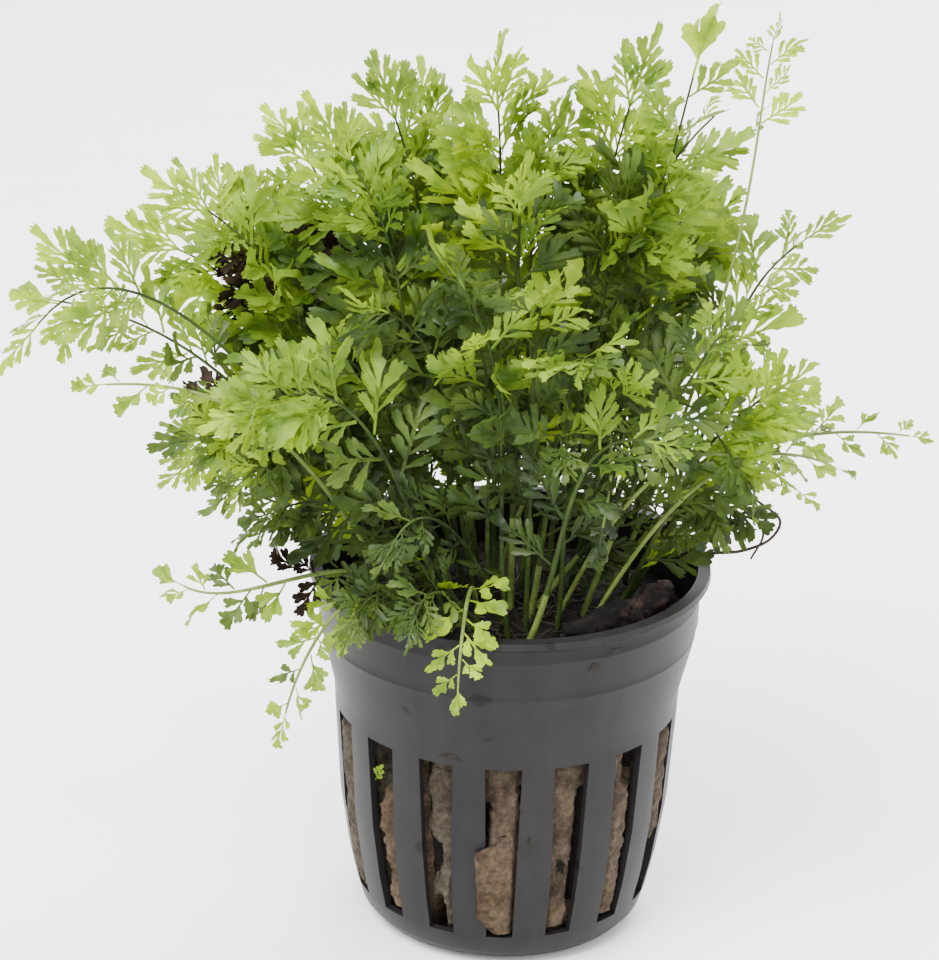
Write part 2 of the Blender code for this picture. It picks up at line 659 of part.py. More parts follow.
def build():
    clear_scene()
    mats = {name: material(name, *look) for name, look in MATERIALS.items()}
    fixed = [build_pot(mats["pot_plastic"]), build_wool(mats["mineral_wool"])]
    fixed.append(add_node("rhizome", *tube(RHIZOME_LINE, RHIZOME_RADII, RHIZOME_SIDES), mats["rhizome"]))
    for name, line in ROOTS.items():
        fixed.append(add_node(name, *tube(line, [ROOT_RADIUS] * len(line), ROOT_SIDES), mats["root"]))
    placed = [placed_object(ob) for ob in fixed]
    plans = all_fronds()
    stalks = place_stalks(plans, frond_seats(plans), placed)
    leaflets = place_leaflets(plans, stalks, placed)
    for index, rings in enumerate(stalks):
        name = "frond_%02d" % (index + 1)
        if rings is None:
            print("no free course for", name)
        else:
            build_frond(name, index, rings, leaflets[index], mats["frond"])
    triangles = sum(len(ob.data.polygons) for ob in bpy.data.objects)
    grown = sum(len(of_frond) for of_frond in leaflets)
    print("leaflets", grown, "of", sum(plan.count + 1 for plan in plans), "triangles", triangles)


build()
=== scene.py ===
"""Looks of the potted African water fern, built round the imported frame.

Lengths are in millimetres until a mesh is made, and the meshes are in metres. The frond plans repeat those
of the model's source. Each stalk and leaflet is looked up in its solid, so that the fine frond grows along
the same lines and reaches the same tips.
"""

import json
import math
from collections import namedtuple

import bpy
import numpy as np
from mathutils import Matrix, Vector, noise
from mathutils.bvhtree import BVHTree

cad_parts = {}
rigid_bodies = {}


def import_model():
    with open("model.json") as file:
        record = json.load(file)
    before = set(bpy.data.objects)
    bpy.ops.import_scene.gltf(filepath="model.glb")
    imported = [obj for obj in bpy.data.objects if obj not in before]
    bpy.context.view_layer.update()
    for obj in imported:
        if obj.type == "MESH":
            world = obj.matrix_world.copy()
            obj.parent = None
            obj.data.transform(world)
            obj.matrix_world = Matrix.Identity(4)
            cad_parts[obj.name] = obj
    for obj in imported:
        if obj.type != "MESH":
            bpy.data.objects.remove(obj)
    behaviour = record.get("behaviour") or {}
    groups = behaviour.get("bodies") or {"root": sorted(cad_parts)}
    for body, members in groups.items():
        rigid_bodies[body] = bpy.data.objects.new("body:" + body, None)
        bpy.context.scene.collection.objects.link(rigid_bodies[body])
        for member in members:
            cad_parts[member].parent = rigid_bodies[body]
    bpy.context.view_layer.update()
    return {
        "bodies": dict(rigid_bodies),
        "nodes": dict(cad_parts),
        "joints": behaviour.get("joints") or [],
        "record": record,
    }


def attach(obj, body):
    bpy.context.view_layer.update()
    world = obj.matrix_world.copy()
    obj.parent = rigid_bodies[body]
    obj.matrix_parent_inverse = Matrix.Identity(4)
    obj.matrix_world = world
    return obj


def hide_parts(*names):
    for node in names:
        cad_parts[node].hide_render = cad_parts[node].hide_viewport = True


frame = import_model()

MM = 0.001
UP = np.array([0.0, 0.0, 1.0])
HORIZONTAL = np.array([1.0, 1.0, 0.0])
ROOT_BODY = "root"
TOUCH = 0.03  # a planned point this near to the solid lies on it
GAP = 0.3  # clear space kept between separate pieces

# Net pot: profiles are (radius, height) pairs
SLOT_COUNT = 16
SLOT_BOTTOM_HALF_WIDTH = 1.7
SLOT_TOP_HALF_WIDTH = 2.35
SLOT_BOTTOM_Z = 5.0
SLOT_TOP_Z = 31.0
WALL = 1.1
RIM_Z = 50.0
RIM_RADIUS = 26.0
BASE_THICKNESS = 1.4
POT_BELOW_SLOTS = [(15.5, 0.0), (17.8, 1.0), (19.0, 2.4)]
POT_SLOT_ROWS = [(19.75, SLOT_BOTTOM_Z), (20.8, 10.0), (21.9, 18.0), (22.6, SLOT_TOP_Z)]
POT_ABOVE_SLOTS = [(22.7, 33.8), (24.2, 40.2), (24.7, 43.0), (24.75, 48.3), (RIM_RADIUS, 49.2),
                   (RIM_RADIUS - 0.1, RIM_Z)]
POT_INSIDE_ABOVE = [(24.3, RIM_Z), (23.6, 42.8), (21.6, 34.2)]
POT_INSIDE_BELOW = [(17.6, 2.6), (16.6, BASE_THICKNESS)]

# Net pot in the scene: columns across a slot and across a rib, and how its edges are rounded
SLOT_STEPS = 4
RIB_STEPS = 6
EDGE_ROUND = 0.16
EDGE_ANGLE = 38.0
POT_CREASE = 35.0
BAND_TOP = RIM_Z - 1.8
MOULD_LINES = [41.3, 46.4]  # heights of two faint steps round the band
MOULD_STEP = 0.035
MOULD_HEIGHT = 0.35
MOULD_EDGE = 0.1

# Dirt on the pot: angle from the front towards +X in degrees, height, half width and half height
DIRT = [(-17.0, 32.2, 1.7, 0.4), (33.0, 47.3, 1.0, 0.35), (26.0, 45.4, 0.7, 0.5), (29.5, 46.6, 0.4, 0.25),
        (9.0, 20.0, 0.25, 1.5)]
DIRT_RINGS = 7
DIRT_SIDES = 14
DIRT_THICKNESS = 0.05
DIRT_LIFT = 0.02
DIRT_UNEVEN = 0.9
DIRT_NOISE = (1.7, 7.3)  # scale of the noise round a fleck, and its step from fleck to fleck

# Mineral wool plug: radius and height of its foot, ring heights, and the space left to a rib
WOOL_BOTTOM = (16.0, 1.8)
WOOL_ROWS = [11.0, 34.2, 43.2]
WOOL_RIB_SPACE = 0.55
WOOL_SHOULDER = (15.0, 44.4)
WOOL_CROWN_Z = 45.2

# Mineral wool in the scene: columns and rows, and the radii of its top from the edge inwards
WOOL_SLOT_COLUMNS = 16
WOOL_RIB_COLUMNS = 5
WOOL_SLOT_MARGIN = 1.12  # the dense columns reach this far past a slot's edges, in slot widths
WOOL_SIDE_ROWS = 104
WOOL_SIDE_FOOT = 1.5
WOOL_TOP_ROWS = 24
WOOL_TOP_RADII = (21.5, 1.2)
# above this height the plug is painted near-black as shade
SHADED_TOP_FROM_Z = 36.0
SOFT_CREASE = 80.0

# Noise on the wool: scale and seed, sampled on a cylinder of one radius, and how it shapes the side and top
NOISE_RADIUS = 20.0
NOISE_LAYERS = 4
LAYER_GROWTH = 2.1
LAYER_FADE = 1.8
LUMPS = (0.22, 3.0)
GRAINS = (1.1, 11.0)
WAVES = (0.55, 23.0)
LUMP_STRENGTH = 0.9
WOBBLE_SHARES = (0.5, 0.6)  # of the lumps and of the waves
DENT_UNDER = 0.4  # lumps lower than this are dents
DENT_DEPTH = 0.4
GRAIN_HEIGHT = 0.22
GRAIN_LIMIT = 0.5
WOOL_BULGE = 0.5
WOOL_REACH = 0.7  # the furthest that it stands out between patches
SLOT_END_SPACE = 1.0  # it stands out between these distances from a slot's ends, and fades out past them
SLOT_FADE = 0.7
TOP_LUMPS = (0.5, 0.7)  # strength and limit on the top
TOP_GRAINS = (0.3, 0.5)

# How far the wool stands out at a slot, in millimetres past its usual face, in patches: slot number from the
# front towards +X, range across the slot from -1 to 1, range of heights, and the change
WOOL_PATCHES = [
    (14, -1.3, 1.3, 25.5, 36.0, -3.0), (14, -1.3, -0.5, 0.0, 28.0, -2.0), (14, -0.5, 1.3, 4.0, 23.0, 0.9),
    (15, -1.3, -1.0, 2.0, 34.0, -1.2), (15, -0.7, -0.3, 13.5, 17.5, -1.6), (15, -1.3, -0.2, 0.0, 8.5, -3.0),
    (15, 0.4, 1.3, 3.0, 14.0, 0.9),
    (0, -1.3, 1.3, 0.0, 18.0, 1.7), (0, -1.3, -1.05, 19.5, 23.0, -1.4), (0, 1.05, 1.3, 21.0, 27.0, -1.4),
    (1, 0.92, 1.3, 9.0, 26.0, -1.6), (1, -1.3, 0.5, 0.0, 9.0, 0.8), (1, -0.2, 0.3, 13.0, 15.0, -0.8),
    (2, 0.5, 1.3, 27.5, 36.0, -2.6), (2, 0.9, 1.3, 3.0, 24.0, -1.6), (2, -1.3, 0.4, 0.0, 26.0, 1.1),
    (13, -1.3, 1.3, 4.0, 36.0, 1.5), (3, -1.3, 1.3, 16.0, 36.0, 1.4), (3, 0.4, 1.3, 0.0, 13.0, -1.5),
    (12, -1.3, 1.3, 4.0, 36.0, 0.9), (4, -1.3, 1.3, 14.0, 36.0, 0.9), (8, -1.3, 0.2, 0.0, 15.0, -2.2),
    (6, -1.3, 1.3, 0.0, 14.0, 1.2), (10, 0.2, 1.3, 12.0, 25.0, -2.4),
]
PATCH_EDGES = (0.3, 1.6)  # softness of a patch's edges, across in slot widths and upwards in millimetres
PATCH_WOBBLE = (0.45, 1.8)
PATCH_DEEPEST = -3.4
# wool set back further than the depth below is painted near-black as shade
PAINTED_SHADE_DEPTH = 1.0  # wool set back further than this is dark
PALE_WOOL = [(0, 0.0, 19.5), (1, 0.0, 9.0), (2, 0.0, 10.0), (14, 4.0, 24.0), (6, 0.0, 14.0)]  # slot, heights
GREY_WOOL = [15, 13, 9]  # slots with greyer wool

# The wool that has pushed out of the front slot and over the rib on its left. Each row has a share of the way
# across the slot's columns, the place across, and how far past the pot's outside the wool lies there.
BULGE_SLOT = 0
BULGE_PATH = [(0.0, -1.12, -1.6), (0.12, -0.93, -1.6), (0.18, -0.9, 0.14), (0.25, -1.4, 0.14),
              (0.33, -1.52, 0.35), (0.45, -1.2, 0.6), (0.65, -0.3, 0.45), (0.85, 0.55, -0.1),
              (1.0, 0.96, -1.2)]
BULGE_RANGE = (5.6, 17.6)  # heights of its foot and its top
BULGE_SLANT = 5.0  # how much higher it reaches on its right
BULGE_FOOT = 3.0  # how much higher its foot is on its left
BULGE_SLOPE = 5.0  # length of its slope at the top
BULGE_SPREAD = 1.4  # length of its slope at the foot and sideways
BULGE_ROUGH = (0.5, 0.35)  # shares of the wobble and of the grain
BULGE_CLEAR = 0.14  # least space to the rib that it lies over
BULGE_ASIDE_FROM = 0.9  # share of the way outwards from which it spreads aside
BULGE_TOP_SPACE = 0.5
BULGE_ROUGH_FROM = 0.2  # rough where it lies further out than this
BULGE_LOOSE_FROM = 0.1  # and with a wavy edge from here
BULGE_LOOSE = 0.2

# A yellow scrap of leaf in a slot on the left: its foot, its out, across and face directions, and its length
SCRAP_PLACE = (np.array([-16.5, -14.3, 24.8]), np.array([0.3, -0.15, 0.94]), np.array([0.75, -0.62, -0.22]),
               np.array([-0.6, -0.76, 0.08]))
SCRAP_LENGTH = 2.6
SCRAP_SEEDS = (5, 3)

# Loose rootlets on the wool's top: how many points and sides each has, where they lie and how they bend
ROOTLETS = 150
ROOTLET_RADIUS = 0.11
ROOTLET_LENGTH = 5.0
ROOTLET_POINTS = 6
ROOTLET_SIDES = 4
ROOTLET_REACH = (21.0, 21.5)
ROOTLET_SWING = 0.8
ROOTLET_BENDS = (3.0, 2.3)
ROOTLET_LIFT = (0.25, 0.5)
ABOUT_A_TURN = 6.3

# Rhizome: centre line and radii, lying on the wool inside the right of the rim
RHIZOME_LINE = [(7.0, -15.0, 47.0), (10.5, -14.2, 47.2), (14.0, -12.0, 47.6), (17.2, -8.6, 47.6),
                (19.2, -4.6, 47.4), (20.2, -1.0, 47.2)]
RHIZOME_RADII = [0.9, 1.9, 2.3, 1.8, 2.1, 1.0]
RHIZOME_STEPS = 10
RHIZOME_SIDES = 24
RHIZOME_SWELL = 0.92
RHIZOME_LUMPS = (0.42, 0.55, 2.0)  # strength, scale and seed of the noise on its skin
RHIZOME_GRAINS = (0.2, 1.9, 5.0)
RHIZOME_LIMITS = (0.55, 1.15)
RHIZOME_BARE_FROM = 14.5  # to the left of this, the rootstock is painted near-black as shade, like the wool's top
SHADE_EDGE_NOISE = (1.5, 0.6, 9.0)

# Wiry roots that loop out over the right of the rim
ROOT_RADIUS = 0.28
ROOT_TAPER = 0.55
ROOT_STEPS = 10
ROOT_SIDES = 8
ROOTS = {
    "root_loop": [(21.6, 1.6, 47.6), (22.6, 1.6, 50.2), (26.0, 1.0, 51.2), (29.8, 0.4, 51.9),
                  (33.2, 0.0, 53.7), (34.4, 0.2, 56.4), (31.6, 0.8, 58.6), (29.2, 1.0, 60.4)],
    "root_free_end": [(22.4, 5.0, 47.8), (23.8, 5.0, 51.6), (27.4, 4.2, 55.8), (30.4, 3.2, 56.6),
                      (32.6, 2.4, 53.6), (31.2, 2.2, 50.0)],
}

# Frond stalks: half widths at the base, where the leaflets start and at the tip
STALK_BASE = 0.55
STALK_BLADE = 0.4
STALK_TIP = 0.26
STALK_BARE_SEGMENTS = 2
STALK_KEEL = 1.35  # depth of the keel and rise of the upper edges, in half widths
STALK_RISE = 0.35

# A stalk's cubic curve: how far its two inner control points stand from the ends, as shares of the straight
# reach, and how much of a step sideways or upwards the first and the second one take
STALK_START_PULL = 0.42
STALK_END_PULL = 0.33
STALK_START_SIDE = 0.5
STALK_END_RISE = 0.7

# Where stalks may stand: a sunflower spread of seats on the wool, cleared round the rhizome. Each frond
# stands on the free seat nearest to its own tip, pulled in by a share.
SEAT_COUNT = 66
SEAT_RADIUS = 17.0
SEAT_CLEAR = 3.4
SEAT_PULL = 0.36
GOLDEN_ANGLE = math.radians(137.50776)

# A frond: its tip, its pitch at the tip in degrees, its lean at the foot, the share of its length that is
# bare, its leaflets' length and count, the roll of its blade in degrees and the lobes of each leaflet
Frond = namedtuple("Frond", "x y z pitch lean bare leaf count roll lobes")

# The placed fronds, round the crown from the left, then the low ones, then those in front
FRONDS = [
    (-62.5, -5.0, 86.3, 8.0, 0.45, 0.30, 8.5, 10, 60.0, 3),
    (-62.5, -13.0, 79.5, -50.0, 0.5, 0.72, 10.0, 4, 55.0, 3),
    (-53.0, -18.0, 80.5, 20.0, 0.85, 0.34, 5.5, 9, 45.0, 2),
    (-45.5, 2.0, 100.0, 34.0, 0.35, 0.28, 12.0, 10, 60.0, 3),
    (-50.5, 4.0, 93.0, 24.0, 0.45, 0.28, 12.0, 10, 60.0, 3),
    (-37.0, 8.0, 98.8, 45.0, 0.3, 0.28, 11.5, 10, 60.0, 3),
    (-31.5, 6.0, 108.0, 52.0, 0.25, 0.30, 12.5, 10, 55.0, 3),
    (-25.5, 0.0, 110.0, 55.0, 0.25, 0.30, 12.0, 9, 65.0, 3),
    (-18.5, 8.0, 114.0, 68.0, 0.2, 0.32, 12.0, 10, 60.0, 3),
    (-13.0, 13.0, 111.5, 75.0, 0.15, 0.34, 11.5, 9, 35.0, 3),
    (-3.5, -2.0, 119.0, 80.0, 0.1, 0.32, 14.0, 10, -60.0, 3),
    (5.5, 2.0, 112.0, 75.0, 0.1, 0.30, 12.0, 10, 75.0, 3),
    (15.5, 4.0, 117.5, 74.0, 0.15, 0.32, 12.5, 10, -60.0, 3),
    (22.2, 0.0, 122.3, 78.0, 0.2, 0.34, 12.5, 9, 70.0, 3),
    (28.0, 0.0, 113.5, 45.0, 0.2, 0.6, 9.5, 6, -70.0, 3),
    (30.5, 3.0, 121.0, 80.0, 0.65, 0.72, 6.0, 7, -25.0, 3),
    (38.5, 0.0, 98.0, 50.0, 0.7, 0.60, 9.5, 6, -35.0, 3),
    (27.5, 10.0, 97.0, 50.0, 0.3, 0.28, 11.0, 9, -40.0, 3),
    (27.0, -14.0, 90.5, 60.0, 0.3, 0.28, 12.0, 9, 75.0, 3),
    (36.5, -12.0, 82.0, 40.0, 0.45, 0.26, 12.5, 10, 75.0, 3),
    (53.0, 0.0, 68.8, 10.0, 0.65, 0.38, 4.6, 10, -40.0, 2),
    (44.0, -5.0, 65.8, -6.0, 0.75, 0.36, 6.0, 9, -40.0, 2),
    (39.0, -10.0, 63.8, -12.0, 0.8, 0.36, 5.5, 8, -30.0, 2),
    (33.0, -9.0, 59.0, -20.0, 0.6, 0.30, 9.5, 7, -70.0, 3),
    (-44.5, -11.0, 52.5, 38.0, 0.88, 0.36, 5.8, 10, 45.0, 2),
    (-29.0, -23.0, 34.5, -62.0, 0.7, 0.42, 5.5, 9, 10.0, 2),
    (-6.0, -32.0, 43.5, -58.0, 0.6, 0.36, 5.2, 10, -10.0, 2),
    (-36.5, -27.0, 77.5, -14.0, 0.35, 0.32, 12.5, 9, 70.0, 3),
    (-45.0, -9.0, 68.0, -10.0, 0.6, 0.26, 10.0, 9, 65.0, 3),
    (-45.5, -4.0, 62.5, -20.0, 0.7, 0.30, 10.0, 9, 70.0, 3),
    (-35.0, -14.0, 57.0, -35.0, 0.6, 0.30, 10.0, 8, 60.0, 3),
    (-20.0, -28.0, 49.5, -60.0, 0.5, 0.34, 6.5, 9, 55.0, 3),
    (-12.5, -29.5, 50.5, -55.0, 0.45, 0.34, 6.5, 9, 50.0, 3),
    (-16.5, -25.0, 58.0, -45.0, 0.35, 0.26, 8.0, 9, 55.0, 3),
    (0.0, -14.0, 107.5, 70.0, 0.15, 0.26, 12.0, 10, -20.0, 3),
    (3.5, -23.0, 96.0, 45.0, 0.2, 0.26, 12.0, 10, 5.0, 3),
    (10.0, -26.0, 85.5, 10.0, 0.25, 0.26, 11.0, 9, -15.0, 3),
    (7.5, -23.0, 70.5, -20.0, 0.35, 0.26, 8.6, 9, 15.0, 3),
    (-5.5, -22.0, 88.0, 30.0, 0.2, 0.26, 11.2, 10, -35.0, 3),
    (-20.0, -18.0, 91.5, 30.0, 0.3, 0.26, 11.5, 10, -55.0, 3),
    (-10.5, -13.0, 98.0, 60.0, 0.15, 0.26, 12.0, 10, -40.0, 3),
    (23.0, -22.0, 74.5, 0.0, 0.45, 0.26, 10.6, 9, -70.0, 3),
    (16.5, -20.0, 83.0, 35.0, 0.3, 0.26, 11.2, 9, 70.0, 3),
    (-27.5, -21.0, 85.0, 15.0, 0.35, 0.28, 11.2, 9, -55.0, 3),
    (14.5, -4.0, 105.0, 70.0, 0.15, 0.26, 12.0, 10, 50.0, 3),
    (-37.0, -21.0, 66.0, -10.0, 0.5, 0.28, 9.0, 9, 70.0, 3),
    (31.0, -18.0, 68.0, -5.0, 0.5, 0.28, 9.0, 9, -70.0, 3),
    (13.0, -24.0, 60.5, -35.0, 0.4, 0.34, 7.0, 8, -15.0, 2),
]

# Fronds behind the crown, spread by one rule: headings in degrees from first to last, with a reach and a
# height from each list in turn. A higher frond points up by as many degrees as it is millimetres higher.
BACK_COUNT = 7
BACK_HEADINGS = (52.0, 156.0)
BACK_REACH = (42.0, 31.0, 48.0)
BACK_HEIGHT = (74.0, 94.0, 85.0)
BACK_PITCH = 12.0
BACK_LEAN = 0.45
BACK_BARE = 0.3
BACK_LEAF = 11.5
BACK_LEAFLETS = 9
BACK_ROLL = 40.0
BACK_LOBES = 3

# Other stalk courses to try when the first one is not free: steps sideways and upwards in millimetres
STALK_SIDE_STEPS = [1.5 * k for k in range(-6, 7)]
STALK_UP_STEPS = [2.0 * k for k in range(-2, 10)]
UP_STEP_WEIGHT = 0.8

# Other leaflet places to try, in turn: change of sweep, tilt upwards, both in degrees, and length factor
LEAFLET_TRIES = [(0, 0, 1.0), (0, 16, 1.0), (0, -16, 1.0), (-10, 0, 1.0), (10, 0, 0.95), (0, 32, 0.95),
                 (0, -34, 0.95), (-12, 22, 0.85), (-12, -22, 0.85), (0, -52, 0.85), (0, 0, 0.75),
                 (14, 20, 0.7), (14, -20, 0.7), (0, 40, 0.7), (0, -70, 0.7), (-8, 0, 0.58), (0, 30, 0.55),
                 (0, -30, 0.55), (0, -60, 0.5), (0, 0, 0.42)]
LEAFLET_SWEEP = 50.0
LEAFLET_DROOP = 0.12
LEAFLET_HALF_WIDTH = 0.34
LEAFLET_TAPER = 0.42  # how much shorter the leaflets are at a frond's tip
LEAFLET_VARIATION = (0.86, 1.14)
FAN_SHARE = 0.72
FAN_HALF_WIDTH = 0.42

# Lobe tips and notches round a leaflet's end: shares of its length and of its half width
THREE_LOBES = [(0.58, -1.0), (0.54, -0.36), (1.0, 0.1), (0.7, 1.0)]
TWO_LOBES = [(0.74, -0.9), (0.6, -0.05), (1.0, 0.75)]

# Stalks in the scene: steps along the curve, sides, and how far a stalk goes down into the wool
STALK_STEPS = 26
STALK_SIDES = 8
STALK_SINK = 2.5
STALK_RADII = [(0.0, 0.46), (0.3, 0.34), (1.0, 0.16)]  # pairs of share of the length and radius
YOUNG_STALK_RADII = [(0.0, 0.3), (0.6, 0.27), (1.0, 0.14)]
STALK_SLIM = 0.82  # share of that thickness for the full fronds whose stalks aren't pale
PALE_STALKS = [38, 19, 24, 35, 42]  # fronds whose bare stalks show pale in front of the dark middle
WISP = 16  # the thinnest frond, pale all along and without extra leaflets
WISP_SLIM = 0.7

# Kinds of leaflet. Fingers leave the leaflet's own stalk on both sides by turns, from the first base to the
# last, and one more ends it. The angle is in degrees, the other sizes are shares of the leaflet's length, and
# the width is half a finger's width at its widest.
LeafKind = namedtuple("LeafKind", "count first last angle length width teeth")
FULL_KINDS = [
    LeafKind(6, 0.14, 0.60, 42.0, 0.38, 0.060, 2),
    LeafKind(7, 0.12, 0.64, 46.0, 0.35, 0.055, 2),
    LeafKind(5, 0.16, 0.55, 38.0, 0.44, 0.068, 3),
    LeafKind(4, 0.20, 0.48, 34.0, 0.48, 0.076, 3),
    LeafKind(6, 0.16, 0.58, 36.0, 0.42, 0.057, 2),
]
YOUNG_KINDS = [
    LeafKind(3, 0.20, 0.44, 44.0, 0.44, 0.105, 2),
    LeafKind(4, 0.16, 0.50, 46.0, 0.40, 0.095, 2),
    LeafKind(2, 0.26, 0.36, 34.0, 0.52, 0.12, 2),
]
TRIDENT = LeafKind(2, 0.26, 0.32, 27.0, 0.66, 0.15, 2)  # the single broad leaflet at the top of one frond
TRIDENT_FROND = 14
TRIDENT_SEED = 3
YOUNG_GROWTH = 1.14  # how much longer the young fronds' leaflets are than those of their solids
VARIANTS = 6
ANGLE_LOSS = 0.3  # how much smaller the angle is for the last finger
LENGTH_SWELL = 0.3  # how much longer the fingers are in the leaflet's middle
SWELL_RANGE = (0.2, 0.9)  # part of a half wave that the fingers' lengths follow
END_FINGER = (0.06, 1.12, 1.15)  # how far past the last base the end finger starts, and its length and width
ANGLE_VARIATION = 14.0
LENGTH_VARIATION = (0.82, 1.16)
WIDTH_VARIATION = (0.86, 1.2)
LEAF_STALK_WIDTH = 0.022
LEAF_STALK_FOLD = 0.01

# A finger: shares of its length, and its half width there on the left and on the right, with a tooth on each
# side; then how far back the notches between the end teeth lie, and how far the teeth spread
FINGER_ROWS = [(0.0, 0.2, 0.2), (0.26, 0.38, 0.46), (0.47, 0.7, 0.98), (0.58, 0.98, 0.7), (0.68, 0.78, 0.9),
               (0.84, 1.0, 1.02)]
TOOTH_DEPTH = 0.13
TOOTH_FLAT = 0.42  # width of a tooth's blunt end, as a share of the tooth
TOOTH_ROUND = 0.1  # how much less the outer teeth reach
FINGER_FOLD = 0.5
FINGER_LIFT = 0.34

# How a leaflet's sheet is cupped, twisted and waved, and the share of its length that counts as its middle
LIVELY = 1.3
CUP_FROM = -0.35
TWIST = 1.2
WAVE_HEIGHT = 0.1
WAVE_ACROSS = 9.0
WAVE_ALONG = 6.0
MIDDLE_SHARE = 0.62

# Extra leaflets between and below those of the solids: where they start and end on the stalk, how many steps
# they take, their length factors, their turns in degrees, and the least space between leaflet middles
EXTRA_FROM = 0.16
EXTRA_TO = 0.94
EXTRA_STEPS = 34
EXTRA_LENGTH = 0.76
EXTRA_LENGTHS = (0.8, 1.2)
EXTRA_LOWEST = 0.62  # length factor where they start
EXTRA_TAPER = 0.22
EXTRA_TURN = 70.0
EXTRA_TILT = 90.0
EXTRA_DOWN = 0.4  # share of the tilt that is downwards
EXTRA_SWEEP = 30.0
EXTRA_SPACE = (1.5, 1.0)  # deep in the crown and at its outside
OPEN_MIDDLE = (0.0, -12.0, 72.0)  # bare stalks show in this egg-shaped space, without extra leaflets
OPEN_SIZE = (27.0, 26.0, 23.0)
SPARSE_FRONDS = [1, 2, 3, 14, 15, 16, 17, 21, 22, 23, 25, 26, 27]  # fewer leaflets, none on the bare part
SPARSE_SPACE = 2.9
END_TURNS = (-27.0, 27.0)  # two more leaflets beside the end one, in degrees from it, and their length
END_SHARE = 0.8

# Crown: centre and half sizes of the egg-shaped body of leaves, for the tone of each leaflet, which carries
# painted light towards the outside and the top and painted shade deeper inside
CROWN_CENTRE = np.array([-4.0, 0.0, 78.0])
CROWN_SIZE = np.array([50.0, 34.0, 42.0])
OUT_WEIGHT = 0.8
HEIGHT_WEIGHT = 0.3
LIGHT_FROM = 1.0
MID_FROM = 0.57
DARK_UNDER = 0.1
FROND_NOISE = 0.38  # how much the tone differs between fronds, and between a frond's leaflets
LEAFLET_NOISE = 0.42

# Places of painted shade and painted light on the leaves: centre, half sizes and how much the tone changes in
# the middle, lower for painted shade and higher for painted light
PAINTED_SHADE_AND_LIGHT_PLACES = [
    ((5.0, -19.0, 59.0), (38.0, 24.0, 18.0), -1.3), ((34.0, -14.0, 76.0), (20.0, 20.0, 20.0), 0.4),
    ((-31.0, -25.0, 77.5), (16.0, 8.0, 5.0), 0.55), ((-2.0, -20.0, 80.0), (24.0, 20.0, 14.0), 0.45),
]

# Withered leaflets: place and reach of each group, and how much smaller they are
DEAD_PLACES = [((-36.0, 0.0, 86.0), 4.2), ((-38.8, -14.0, 78.3), 2.4), ((-24.5, 0.0, 92.5), 3.2),
               ((-27.0, -13.0, 52.5), 4.0)]
DEAD_SIZE = 0.85

# Fronds that show lighter than their surroundings, and the share of their leaflets that does
LIGHT_SHARES = {35: 0.3, 20: 0.15, 29: 0.2, 30: 0.2, 9: 0.35, 11: 0.35, 26: 0.6, 27: 0.9}

# Leaf colours: dark and light mottle, the light that comes through, its share, and the gloss. The pale lit,
# mid, deep and shade copies of the leaf green carry painted light and painted shade by place in the crown;
# the pale lit copy also colours pale leaves.
LEAF_TONES = {
    "frond_stalk": ((0.1, 0.15, 0.035), (0.2, 0.27, 0.07), (0.28, 0.37, 0.07), 0.15, 0.1),
    "leaf_light": ((0.085, 0.165, 0.007), (0.31, 0.445, 0.019), (0.5, 0.67, 0.024), 0.36, 0.2),
    "leaf_mid": ((0.042, 0.09, 0.008), (0.2, 0.315, 0.027), (0.37, 0.54, 0.036), 0.34, 0.2),
    "leaf_deep": ((0.018, 0.037, 0.008), (0.078, 0.125, 0.021), (0.155, 0.23, 0.032), 0.28, 0.2),
    "leaf_dead": ((0.008, 0.006, 0.004), (0.026, 0.017, 0.010), (0.03, 0.018, 0.01), 0.1, 0.04),
    "frond_twig": ((0.018, 0.031, 0.009), (0.05, 0.08, 0.02), (0.065, 0.1, 0.018), 0.12, 0.08),
    "leaf_shade": ((0.008, 0.017, 0.004), (0.036, 0.062, 0.011), (0.08, 0.12, 0.018), 0.24, 0.2),
}

# Materials of the wool's piece, in the order of its slots
WOOL_LOOKS = ["wool_fibre", "wool_fibre_pale", "wool_gap", "wool_top_dark", "wiry_root", "leaf_light",
              "wool_fibre_grey"]

# Leaf surface: noises as scale, detail and roughness, stops as noise values with their colours, and bumps as
# strength and depth in metres
LEAF_CLOUD = (170.0, 2.0, 0.55)
LEAF_GRAIN = (900.0, 4.0, 0.6)
LEAF_MOTTLE = (0.34, 0.66)
LEAF_SPECKS = [(0.3, (0.72, 0.74, 0.7)), (0.62, (1.08, 1.06, 1.0))]
LEAF_ROUGH = 0.4
LEAF_BUMP = (0.5, 0.0003)
GLOW_STOPS = (0.3, 0.7)
GLOW_DIM = 0.8  # the light that comes through where it is weakest

# Wool colours from the dark to the pale fibres, and the noise values that they stand at
WOOL_STOPS = (0.3, 0.48, 0.66)
WOOL_TONES = {
    "wool_fibre": [(0.026, 0.019, 0.012), (0.048, 0.035, 0.023), (0.078, 0.058, 0.039)],
    "wool_fibre_pale": [(0.034, 0.023, 0.013), (0.057, 0.04, 0.0235), (0.093, 0.066, 0.039)],
    "wool_fibre_grey": [(0.022, 0.018, 0.012), (0.042, 0.035, 0.024), (0.068, 0.058, 0.041)],
}
WOOL_GRAIN = (1100.0, 5.0, 0.62)
WOOL_CLOUD = (230.0, 3.0, 0.6)
WOOL_SHADES = [(0.36, (0.6, 0.54, 0.5)), (0.64, (1.2, 1.2, 1.2))]
WOOL_FINISH = (0.2, 0.95)  # gloss and roughness
WOOL_BUMP = (0.8, 0.0006)

